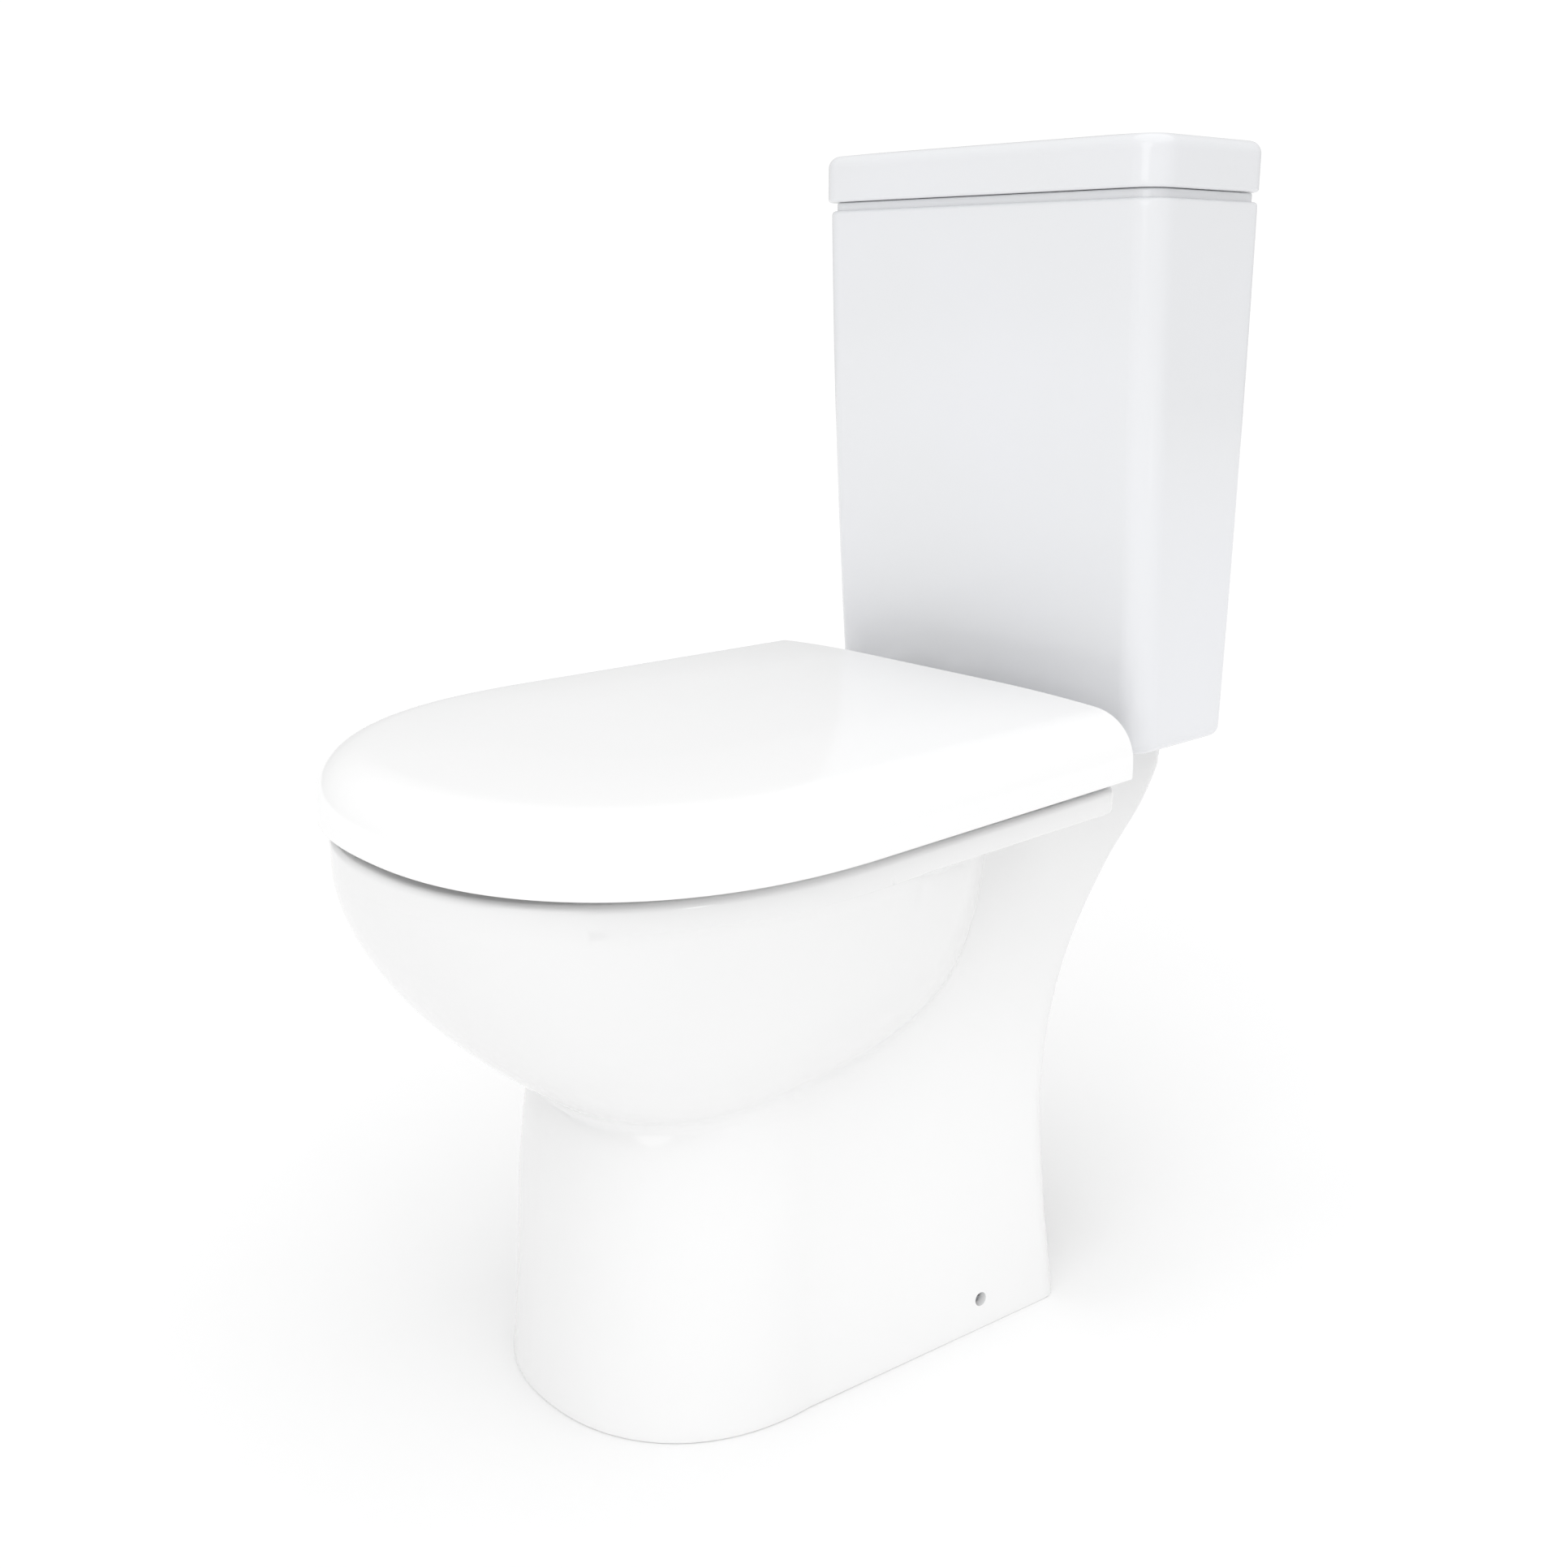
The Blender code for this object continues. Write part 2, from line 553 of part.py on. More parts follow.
def make_flush_valve():
    place = (0, forward(VALVE_DEPTH), 0)
    turned("valve_base_washer", disc(0.0345, TANK_FLOOR + GAP, TANK_FLOOR + 0.003, 0.029), place,
           "rubber", steps=32)
    flange = TANK_FLOOR + 0.003 + GAP
    tower = turned("flush_valve_tower", [
        (0.0350, flange + 0.005), (0.0350, flange), (0.0285, flange), (0.0285, 0.378), (0.0225, 0.378),
        (0.0225, flange + 0.009), (0.0240, flange + 0.009), (0.0285, flange + 0.005)],
        place, "valve_plastic", steps=32)
    crown = turned("valve_crown", disc(0.030, 0.690, 0.720, 0.0185), place, steps=32)
    posts = [box("valve_post", (x * 0.0272 - 0.0022, place[1] + y * 0.008 - 0.0035, flange + 0.003),
                 (x * 0.0272 + 0.0022, place[1] + y * 0.008 + 0.0035, 0.700))
             for x in (-1, 1) for y in (-1, 1)]
    join(tower, crown, *posts)
    bridge = box("valve_bridge", (-0.029, place[1] - 0.0115, 0.7105), (0.029, place[1] + 0.0115, 0.7185))
    join(tower, bridge)
    for side in (-1, 1):
        cut(tower, turned("rod_guide", disc(0.0042, 0.66, 0.74), (side * 0.009, place[1], 0), steps=16))

    turned("valve_back_nut", disc(0.034, PLATFORM_Z + 0.001, TANK_BOTTOM - GAP, 0.0289), place,
           "valve_plastic", steps=32)
    seat = flange + 0.009 + GAP
    turned("flush_seal", disc(0.0243, seat, seat + 0.0025, 0.0138), place, "rubber", steps=32)
    turned("overflow_tube", [
        (0.0135, 0.655), (0.0135, seat + 0.0065), (0.0215, seat + 0.0065), (0.0215, seat + 0.0028),
        (0.0135, seat + 0.0028), (0.0135, seat - 0.004), (0.0115, seat - 0.004), (0.0115, 0.655)],
        place, "valve_accent", steps=24)


def make_push_button():
    """A bezel clamped through the cistern lid by its nut, two half-round buttons and their rods."""
    place = (0, forward(BUTTON_DEPTH), 0)
    top = LID_CROWN - BUTTON_SINK
    turned("button_bezel", [
        (BEZEL_RADIUS, top + 0.0012), (BEZEL_RADIUS, top), (0.0208, top), (0.0208, LID_TOP - 0.030),
        (0.0192, LID_TOP - 0.030), (0.0192, top + 0.0035), (0.0232, top + 0.0035)], place, "chrome", steps=32)
    under = LID_TOP - 0.009 - GAP
    turned("button_nut", disc(0.0270, under - 0.006, under, 0.0212), place, "valve_plastic", steps=32)
    for side, word in ((-1, "half"), (1, "full")):
        cap = turned(word + "_flush_button", disc(BUTTON_RADIUS, LID_TOP - 0.004, top + 0.0030), place,
                     "chrome", steps=32)
        keep = sorted((BUTTON_SPLIT + side * GAP, -side * 0.03))
        cut(cap, box(word + "_split", (keep[0], place[1] - 0.03, LID_TOP - 0.02),
                     (keep[1], place[1] + 0.03, top + 0.02)))
        x = side * 0.009
        rod_top = LID_TOP - 0.004 - GAP
        rod = turned(word + "_flush_rod", disc(0.0030, 0.700, rod_top), (x, forward(VALVE_DEPTH), 0),
                     "valve_accent", steps=12)
        join(rod, turned(word + "_rod_head", disc(0.0046, rod_top - 0.004, rod_top),
                         (x, forward(VALVE_DEPTH), 0), steps=12))


# The fill valve

def make_fill_valve():
    place = (FILL_X, forward(VALVE_DEPTH), 0)
    turned("fill_valve_washer", disc(0.0170, TANK_FLOOR + GAP, TANK_FLOOR + 0.003, 0.0100), place,
           "rubber", steps=24)
    flange = TANK_FLOOR + 0.003 + GAP
    body = turned("fill_valve_body", [
        (0.0135, 0.700), (0.0135, 0.668), (0.0075, 0.662), (0.0075, flange + 0.020),
        (0.0150, flange + 0.012), (0.0150, flange), (0.0095, flange), (0.0095, 0.358), (0, 0.358),
        (0, 0.700)], place, "valve_plastic", steps=24)
    ears = [box("lever_ear", (FILL_X + x - 0.0015, place[1] - 0.010, 0.694),
                (FILL_X + x + 0.0015, place[1] + 0.002, 0.716)) for x in (-0.006, 0.006)]
    join(body, *ears)
    bore = turned("fill_bore", disc(0.0055, 0.300, 0.400), place, steps=16)
    pivot_hole = turned("lever_pivot_hole", disc(0.0019, -0.02, 0.02), (FILL_X, place[1] - 0.004, 0.709),
                        steps=16, along_x=True)
    cut(body, bore, pivot_hole)
    nut = turned("fill_valve_back_nut", disc(0.0140, TANK_BOTTOM - 0.009, TANK_BOTTOM - GAP), place,
                 "valve_plastic", steps=6)
    cut(nut, turned("fill_nut_bore", disc(0.0098, 0.380, 0.410), place))

    low, high = 0.590, 0.640
    cup = turned("float_cup", [(0.0205, high), (0.0205, low), (0.0180, low), (0.0180, high - 0.004),
                               (0.0105, high - 0.004), (0.0105, low), (0.0085, low), (0.0085, high)],
                 place, "valve_accent", steps=24)
    rod_y = place[1] - 0.0175 - 0.0165
    lug = box("float_lug", (FILL_X - 0.004, rod_y - 0.004, high - 0.006),
              (FILL_X + 0.004, place[1] - 0.015, high))
    join(cup, lug)
    turned("float_rod", disc(0.0014, high + GAP, 0.722), (FILL_X, rod_y, 0), "steel", steps=10)

    arm = box("float_lever", (FILL_X - 0.0035, rod_y - 0.0085, 0.7075),
              (FILL_X + 0.0035, place[1] + 0.001, 0.7105), "valve_plastic")
    join(arm, turned("lever_hub", disc(0.0040, -0.0041, 0.0041), (FILL_X, place[1] - 0.004, 0.709),
                     steps=16, along_x=True))
    cut(arm, turned("hub_hole", disc(0.0019, -0.02, 0.02), (FILL_X, place[1] - 0.004, 0.709), steps=16,
                    along_x=True),
        box("rod_slot", (FILL_X - 0.0021, rod_y - 0.0065, 0.700), (FILL_X + 0.0021, rod_y + 0.0035, 0.720)))
    turned("lever_pin", disc(0.0016, -0.0095, 0.0095), (FILL_X, place[1] - 0.004, 0.709), "steel", steps=12,
           along_x=True)


# The seat

def lid_outline(inset, z):
    """The seat lid's D-shaped outline: its rear line stays put as its sides move in."""
    rear_half = SEAT_LID_REAR_HALF - inset
    arc = front_arc(SEAT_LID_HALF - inset, SEAT_LID_MIDDLE, DEPTH - inset, 27, SEAT_LID_POWER)
    rear = forward(SEAT_LID_REAR)
    return at_height(np.vstack([[[rear_half, rear]], arc, [[-rear_half, rear]]]), z)


def lid_shell_rings(offset, bottom):
    """Rings up the lid's side, round its shoulder in a quarter ellipse, and over its crown."""
    shoulder = SEAT_LID_TOP - SEAT_LID_SHOULDER
    rings = [lid_outline(offset, bottom), lid_outline(offset, SEAT_LID_SHOULDER)]
    for angle in np.radians((22, 45, 67, 90)):
        rings.append(lid_outline(offset + 0.024 * (1 - math.cos(angle)),
                                 SEAT_LID_SHOULDER + (shoulder - offset) * math.sin(angle)))
    for inset, rise in ((0.050, 0.0028), (0.085, 0.0045), (0.120, 0.005)):
        rings.append(lid_outline(inset, SEAT_LID_TOP - offset + rise))
    return rings


def make_seat_lid():
    lid = loft("seat_lid", lid_shell_rings(0.0, SEAT_LID_EDGE), "seat_plastic")
    lid_inside = loft("lid_inside", [
        [(x, min(y, forward(SEAT_LID_REAR + 0.005)), z) for x, y, z in ring]
        for ring in lid_shell_rings(SEAT_LID_WALL, SEAT_LID_EDGE - 0.01)])
    rear_gap = box("lid_rear_gap", (-0.1755, forward(SEAT_LID_REAR + 0.010), 0.380),
                   (0.1755, forward(0.140), 0.428))
    cut(lid, lid_inside, rear_gap)
    for side in (-1, 1):
        make_lug(lid, "lid_lug", side * 0.0980, 0.0055, 0.0080, SEAT_LID_TOP + 0.0015, 0.0)


def make_lug(target, name, x, half, radius, top, reach):
    """A hinge lug: a rounded eye about the hinge axis, joined to its piece, and bored for the pin."""
    y = forward(HINGE_DEPTH)
    eye = turned(name + "_eye", disc(radius, -half, half), (x, y, HINGE_Z), steps=20, along_x=True)
    if reach:
        web = box(name + "_web", (x - half, y - reach, HINGE_Z - 0.007), (x + half, y, top))
    else:
        web = box(name + "_web", (x - half, y - radius * 0.9, HINGE_Z), (x + half, y + radius * 0.9, top))
    join(target, eye, web)
    cut(target, turned(name + "_bore", disc(PIN_RADIUS + 0.0006, -0.02, 0.02), (x, y, HINGE_Z), steps=24,
                       along_x=True))


def make_seat_ring():
    """A D-shaped ring with rounded edges and an egg-shaped opening."""
    def ring(inset, z):
        plan = foot_plan(0.181 - inset, 0.174 - inset, 0.390, 0.5955 - inset, 0.190 + inset, 0.020)
        return at_height(plan, z)

    seat = loft("seat_ring", [ring(0.003, SEAT_BOTTOM), ring(0, SEAT_BOTTOM + 0.004), ring(0, 0.411),
                              ring(0.003, 0.4165), ring(0.010, SEAT_TOP)], "seat_plastic")
    hole = [at_height(egg_plan(half, 0.400, front, rear), z) for half, front, rear, z in
            ((0.103, 0.528, 0.262, SEAT_BOTTOM - 0.01), (0.103, 0.528, 0.262, 0.411),
             (0.108, 0.533, 0.257, 0.4165), (0.118, 0.543, 0.247, SEAT_TOP + 0.0005))]
    cut(seat, loft("seat_hole", hole))
    for side in (-1, 1):
        make_lug(seat, "seat_lug", side * 0.0570, 0.0055, 0.0080, HINGE_Z + 0.0025, 0.024)


def make_buffers():
    for index, (x, depth) in enumerate(((-0.148, 0.460), (0.148, 0.460), (-0.140, 0.270), (0.140, 0.270))):
        turned(f"seat_buffer_{index + 1}", disc(0.0085, RIM_TOP + GAP, SEAT_BOTTOM - GAP),
               (x, forward(depth), 0), "buffer", steps=16)
    for side, word in ((-1, "left"), (1, "right")):
        turned("lid_buffer_" + word, disc(0.0070, SEAT_TOP + GAP, SEAT_LID_TOP - SEAT_LID_WALL + 0.0016),
               (side * 0.138, forward(0.430), 0), "buffer", steps=16)


def make_hinges():
    """Posts on the deck with studs through it, the pins that seat and lid turn on, and their nuts."""
    for side, word in ((-1, "left"), (1, "right")):
        x, y = side * HINGE_X, forward(HINGE_DEPTH)
        place = (x, y, 0)
        turned("hinge_pad_" + word, disc(0.0105, RIM_TOP + GAP, RIM_TOP + 0.0018, 0.0038), place, "rubber",
               steps=20)
        foot = RIM_TOP + 0.0018 + GAP
        post = turned("hinge_post_" + word, [(0.0100, foot + 0.003), (0.0100, foot), (0.0030, foot),
                                             (0.0030, 0.348), (0, 0.348), (0, foot + 0.003)],
                      place, "chrome", steps=20)
        join(post, box("post_web", (x - 0.009, y - 0.0074, foot + 0.001), (x + 0.009, y + 0.0074, HINGE_Z)),
             turned("post_eye", disc(0.0075, -0.009, 0.009), (x, y, HINGE_Z), steps=20, along_x=True))
        cut(post, turned("post_bore", disc(PIN_RADIUS + 0.0004, -0.02, 0.02), (x, y, HINGE_Z), steps=20,
                         along_x=True))
        turned("hinge_pin_" + word, disc(PIN_RADIUS, -0.0285, 0.0285), (x, y, HINGE_Z), "steel", steps=16,
               along_x=True)
        under = PLATFORM_Z - SLAB - GAP
        turned("hinge_washer_" + word, disc(0.0095, under - 0.0025, under, 0.0034), place, "rubber",
               steps=20)
        make_wing_nut("hinge_wing_nut_" + word, place, under - 0.0025 - GAP, 0.0033, "valve_plastic")


clear_scene()
TOILET = new_collection("close_coupled_toilet")
CUTTERS = new_collection("cutters")
make_pan()
make_floor_fixings()
make_tank()
make_cistern_lid()
make_coupling()
make_flush_valve()
make_push_button()
make_fill_valve()
make_seat_ring()
make_seat_lid()
make_buffers()
make_hinges()
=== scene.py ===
"""Looks of a close coupled toilet: glazed china pan and cistern, gloss seat and lid, chrome button."""
import json
import math

import bpy
import numpy as np
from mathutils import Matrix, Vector


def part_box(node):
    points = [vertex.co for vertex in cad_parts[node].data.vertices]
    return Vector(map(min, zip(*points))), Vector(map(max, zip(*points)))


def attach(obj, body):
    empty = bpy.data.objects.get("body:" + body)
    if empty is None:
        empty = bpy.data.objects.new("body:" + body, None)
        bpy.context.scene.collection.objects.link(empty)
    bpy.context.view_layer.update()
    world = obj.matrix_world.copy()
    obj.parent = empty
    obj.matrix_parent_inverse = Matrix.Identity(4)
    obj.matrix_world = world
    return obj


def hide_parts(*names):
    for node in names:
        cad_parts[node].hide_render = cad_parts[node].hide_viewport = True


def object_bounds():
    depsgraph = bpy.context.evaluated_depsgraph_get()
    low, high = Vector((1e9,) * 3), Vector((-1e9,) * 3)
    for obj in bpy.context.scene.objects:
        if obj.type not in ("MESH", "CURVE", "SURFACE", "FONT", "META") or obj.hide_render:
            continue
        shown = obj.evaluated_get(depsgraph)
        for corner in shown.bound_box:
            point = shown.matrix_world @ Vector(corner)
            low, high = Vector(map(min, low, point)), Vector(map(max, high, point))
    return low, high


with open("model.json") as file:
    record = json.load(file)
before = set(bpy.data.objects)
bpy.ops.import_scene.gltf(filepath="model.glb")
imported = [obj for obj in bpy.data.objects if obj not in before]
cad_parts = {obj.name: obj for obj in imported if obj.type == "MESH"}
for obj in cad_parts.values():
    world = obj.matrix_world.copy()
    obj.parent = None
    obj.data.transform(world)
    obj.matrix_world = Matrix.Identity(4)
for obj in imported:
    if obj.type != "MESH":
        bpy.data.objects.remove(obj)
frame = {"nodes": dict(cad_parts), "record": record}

CAD_BOX = [list(corner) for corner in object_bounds()]
WALL_Y = CAD_BOX[1][1]
PI = math.pi
FIT_GAP = 0.0003        # left between two pieces that touch
SIDES = ("left", "right")


def from_wall(depth):
    """The Y of a point this far forward of the wall."""
    return WALL_Y - depth


def middle_of(node):
    """The middle of a CAD node's box."""
    low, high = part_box(node)
    return np.array((low + high) / 2)


# ---------------------------------------------------------------- meshes

def put_mesh(name, points, faces, sharp=32):
    """A mesh object from points and faces, smooth except across edges sharper than this many degrees.

    All faces are turned over if the closed volume comes out negative.
    """
    mesh = bpy.data.meshes.new(name)
    mesh.from_pydata(points.tolist(), [], faces)
    mesh.calc_loop_triangles()
    corners = np.zeros(len(mesh.loop_triangles) * 3, np.int32)
    mesh.loop_triangles.foreach_get("vertices", corners)
    a, b, c = points[corners.reshape(-1, 3)].transpose(1, 0, 2)
    if np.einsum("ij,ij->", a, np.cross(b, c)) < 0:
        mesh.flip_normals()
    mesh.shade_smooth()
    mesh.set_sharp_from_angle(angle=math.radians(sharp))
    piece = bpy.data.objects.new(name, mesh)
    bpy.context.scene.collection.objects.link(piece)
    return piece


def skin(name, rings, sharp=32, ends=True):
    """A closed surface through rings of points, a (rows, columns, 3) grid whose columns wrap round.

    Each end is closed by a fan to the middle of its ring, or, without ends, the last ring
    meets the first one.
    """
    rings = np.asarray(rings, float)
    rows, columns = rings.shape[:2]
    points = rings.reshape(-1, 3)
    at = np.arange(rows * columns).reshape(rows, columns)
    after = np.roll(at, -1, axis=1)
    up, up_after = np.roll(at, -1, axis=0), np.roll(after, -1, axis=0)
    faces = np.stack([at, after, up_after, up], axis=-1)
    if not ends:
        return put_mesh(name, points, faces.reshape(-1, 4).tolist(), sharp)
    points = np.vstack([points, rings[0].mean(0), rings[-1].mean(0)])
    pole = np.full(columns, rows * columns)
    low = np.stack([after[0], at[0], pole], axis=-1)
    high = np.stack([at[-1], after[-1], pole + 1], axis=-1)
    return put_mesh(name, points, faces[:-1].reshape(-1, 4).tolist() + low.tolist() + high.tolist(), sharp)


def fuse(target, joined=(), cuts=(), sharp=32):
    """Join closed pieces to one, then cut others out of it, and keep the result as its mesh."""
    for operation, others in (("UNION", joined), ("DIFFERENCE", cuts)):
        for other in others:
            step = target.modifiers.new(other.name, "BOOLEAN")
            step.operation, step.object, step.solver = operation, other, "MANIFOLD"
    bpy.context.view_layer.update()
    done = bpy.data.meshes.new_from_object(target.evaluated_get(bpy.context.evaluated_depsgraph_get()))
    target.modifiers.clear()
    target.data = done
    done.shade_smooth()
    done.set_sharp_from_angle(angle=math.radians(sharp))
    for other in (*joined, *cuts):
        bpy.data.objects.remove(other)
    return target


# ---------------------------------------------------------------- outlines and profiles

def quarter(count):
    """Pairs (1 - cos t, 1 - sin t) round a quarter circle: from an upright side to a level top."""
    turn = np.linspace(0, PI / 2, count)
    return list(zip(1 - np.cos(turn), 1 - np.sin(turn)))


def spread(outline, count):
    """The closed outline again, with that many points evenly spaced along it."""
    closed = np.vstack([outline, outline[:1]])
    along = np.concatenate([[0], np.cumsum(np.linalg.norm(np.diff(closed, axis=0), axis=1))])
    places = np.linspace(0, along[-1], count, endpoint=False)
    return np.column_stack([np.interp(places, along, closed[:, k]) for k in (0, 1)])


def half_oval(half, middle, front, power=2.2, count=181):
    """Half a superellipse from +X round the front to -X: |x / half|^p + |d / reach|^p = 1."""
    turn = np.linspace(0, PI, count)
    x = half * np.sign(np.cos(turn)) * np.abs(np.cos(turn)) ** (2 / power)
    return np.column_stack([x, from_wall(middle + (front - middle) * np.sin(turn) ** (2 / power))])


def corner(x, depth, radius, start, count=17):
    """A quarter circle inside a corner, turned anticlockwise from a direction in degrees."""
    turn = np.radians(np.linspace(start, start + 90, count))
    centre = np.array([x - math.copysign(radius, x), from_wall(depth + radius)])
    return centre + radius * np.column_stack([np.cos(turn), np.sin(turn)])


def round_front(half_front, half_rear, middle, front, rear, radius=0.012, power=2.2):
    """A superellipse front, straight sides and a flat rear with rounded corners."""
    return np.vstack([half_oval(half_front, middle, front, power)[::-1],
                      corner(half_rear, rear, radius, 0), corner(-half_rear, rear, radius, 90)])


def egg(half, middle, front, rear, power=2.2):
    """Two half superellipses with one widest line: the front one and the rear one."""
    back = half_oval(half, middle, rear, power)[1:-1]
    return np.vstack([half_oval(half, middle, front, power), back[::-1]])


def reach(outline, centre, turns):
    """How far the outline is from a centre inside it, in each direction."""
    away = spread(outline, 1500) - centre
    return np.interp(turns, np.arctan2(away[:, 1], away[:, 0]), np.hypot(*away.T), period=2 * PI)


def around(centre, turns, distance, z):
    """Points at those distances from the centre in those directions, at height z."""
    x, y = centre[0] + distance * np.cos(turns), centre[1] + distance * np.sin(turns)
    return np.stack([x, y, np.broadcast_to(z, x.shape)], -1)


def blend_max(a, b, width):
    """The larger of two reaches, rounded off over width where they cross: a fillet."""
    near = np.maximum(width - np.abs(a - b), 0) / width
    return np.maximum(a, b) + near ** 2 * width / 4


def through(levels, z):
    """Cubic curves through a table of levels, whose first column is the height."""
    table = np.array(levels, float)
    height, values = table[:, 0], table[:, 1:]
    slope = np.gradient(values, height, axis=0)
    z = np.clip(z, height[0], height[-1])
    i = np.clip(np.searchsorted(height, z) - 1, 0, len(height) - 2)
    step = (height[i + 1] - height[i])[:, None]
    t = (z - height[i])[:, None] / step
    return ((2 * t ** 3 - 3 * t ** 2 + 1) * values[i] + (t ** 3 - 2 * t ** 2 + t) * step * slope[i]
            + (3 * t ** 2 - 2 * t ** 3) * values[i + 1] + (t ** 3 - t ** 2) * step * slope[i + 1])


def turned(name, profile, place, axis="Z", columns=64, ends=True, sharp=32):
    """A profile of (radius, height) points turned about an axis through place."""
    profile = np.array(profile, float)
    turn = np.linspace(0, 2 * PI, columns, endpoint=False)
    u, v = profile[:, :1] * np.cos(turn), profile[:, :1] * np.sin(turn)
    h = np.repeat(profile[:, 1:], columns, axis=1)
    grid = {"Z": (u, v, h), "X": (h, u, v), "Y": (v, h, u)}[axis]
    return skin(name, np.stack(grid, -1) + np.array(place), sharp, ends)


def bar_profile(radius, low, high, edge):
    """The profile of a round bar whose two ends are rounded by a quarter circle."""
    return ([(radius - edge * b, low + edge * a) for a, b in quarter(5)]
            + [(radius - edge * a, high - edge * b) for a, b in quarter(5)])


def collar_profile(outer, inner, low, high, edge):
    """The closed profile of a washer or sleeve with four rounded edges."""
    return (bar_profile(outer, low, high, edge)
            + [(2 * inner - r, h) for r, h in bar_profile(inner, low, high, edge)[::-1]])


def sweep(name, path, radius, columns=48):
    """A round bar along a cubic curve through (depth, z) points at x = 0."""
    path = np.array(path, float)
    line = through(np.column_stack([np.arange(len(path)), path]), np.linspace(0, len(path) - 1, 60))
    centre = np.column_stack([np.zeros(60), from_wall(line[:, 0]), line[:, 1]])
    along = np.gradient(centre, axis=0)
    side = np.cross([1, 0, 0], along / np.linalg.norm(along, axis=1)[:, None])
    turn = np.linspace(0, 2 * PI, columns, endpoint=False)[None, :, None]
    return skin(name, centre[:, None] + radius * (np.cos(turn) * [1, 0, 0] + np.sin(turn) * side[:, None]))


# ---------------------------------------------------------------- the pan

RIM_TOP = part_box("pan")[1].z
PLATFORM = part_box("coupling_gasket")[0].z - FIT_GAP     # top of the cistern platform
SLAB_UNDER = PLATFORM - 0.012                           # the slab is 12 mm thick there
CHINA_WALL = 0.012
PAN_COLUMNS = 480
HEART = np.array([0.0, from_wall(0.392)])       # each section of the pan can be seen whole from here

PEDESTAL = [
    # height, half width at the front and at the rear, depth of the middle, front and rear
    (0.000, 0.1188, 0.139, 0.375, 0.500, 0.1460), (0.080, 0.1150, 0.131, 0.373, 0.493, 0.1510),
    (0.160, 0.1120, 0.123, 0.370, 0.488, 0.1490), (0.205, 0.1090, 0.118, 0.365, 0.480, 0.1380),
    (0.255, 0.1070, 0.112, 0.350, 0.450, 0.1120), (0.310, 0.1060, 0.108, 0.330, 0.430, 0.0660),
    (0.350, 0.1058, 0.1065, 0.320, 0.430, 0.0230), (0.377, 0.1058, 0.1060, 0.310, 0.430, 0.0082),
]
CAVITY = [
    # height, half width, depth of the front and of the rear
    (0.100, 0.030, 0.360, 0.300), (0.130, 0.045, 0.393, 0.282), (0.180, 0.066, 0.440, 0.272),
    (0.225, 0.092, 0.474, 0.262), (0.275, 0.124, 0.526, 0.240), (0.325, 0.146, 0.566, 0.222),
    (0.352, 0.151, 0.579, 0.221), (0.359, 0.150, 0.579, 0.222), (0.366, 0.140, 0.568, 0.231),
    (0.371, 0.131, 0.557, 0.239), (0.377, 0.130, 0.556, 0.240), (0.383, 0.130, 0.556, 0.240),
]
TRAP = [(0.330, 0.128), (0.285, 0.127), (0.246, 0.152), (0.226, 0.194), (0.196, 0.222), (0.162, 0.206),
        (0.140, 0.184), (0.122, 0.180)]


def pedestal_reach(turns, z, inset=0.0):
    """The pedestal's outside at each height: a rounded front, straight sides and a flat rear."""
    return np.array([
        reach(round_front(half_front - inset, half_rear - inset, middle, front - inset, rear + inset),
              HEART, turns)
        for half_front, half_rear, middle, front, rear in through(PEDESTAL, z)])


def bowl_reach(turns, z):
    """The bowl's outside: it grows from its foot to the rim as 1 - fall^1.92, raised to a power."""
    rows = []
    for height in z:
        fall = min((PLATFORM - height) / 0.1828, 1)
        grown = 1 - fall ** 1.92
        outline = egg(0.0763 + 0.1017 * grown ** 0.70, 0.385, 0.4688 + 0.1332 * grown ** 0.97,
                      0.385 - max(0.2187 * (1 - fall ** 12.4), 0.002))
        rows.append(reach(outline, HEART + [0, 0.004], turns) if fall < 1 else np.full(len(turns), 0.001))
    return np.array(rows)


SLAB = round_front(0.179, 0.1745, 0.385, 0.603, 0.147, 0.020)


def deck_outline():
    """The rim slab's D with rounded rear corners, filleted into the platform under the cistern."""
    turns = np.linspace(-PI, PI, 4000, endpoint=False)
    slab = reach(SLAB, HEART, turns)
    platform = reach(round_front(0.106, 0.106, 0.300, 0.430, 0.008, 0.012), HEART, turns)
    return around(HEART, turns, blend_max(slab, platform, 0.010), 0)[:, :2]


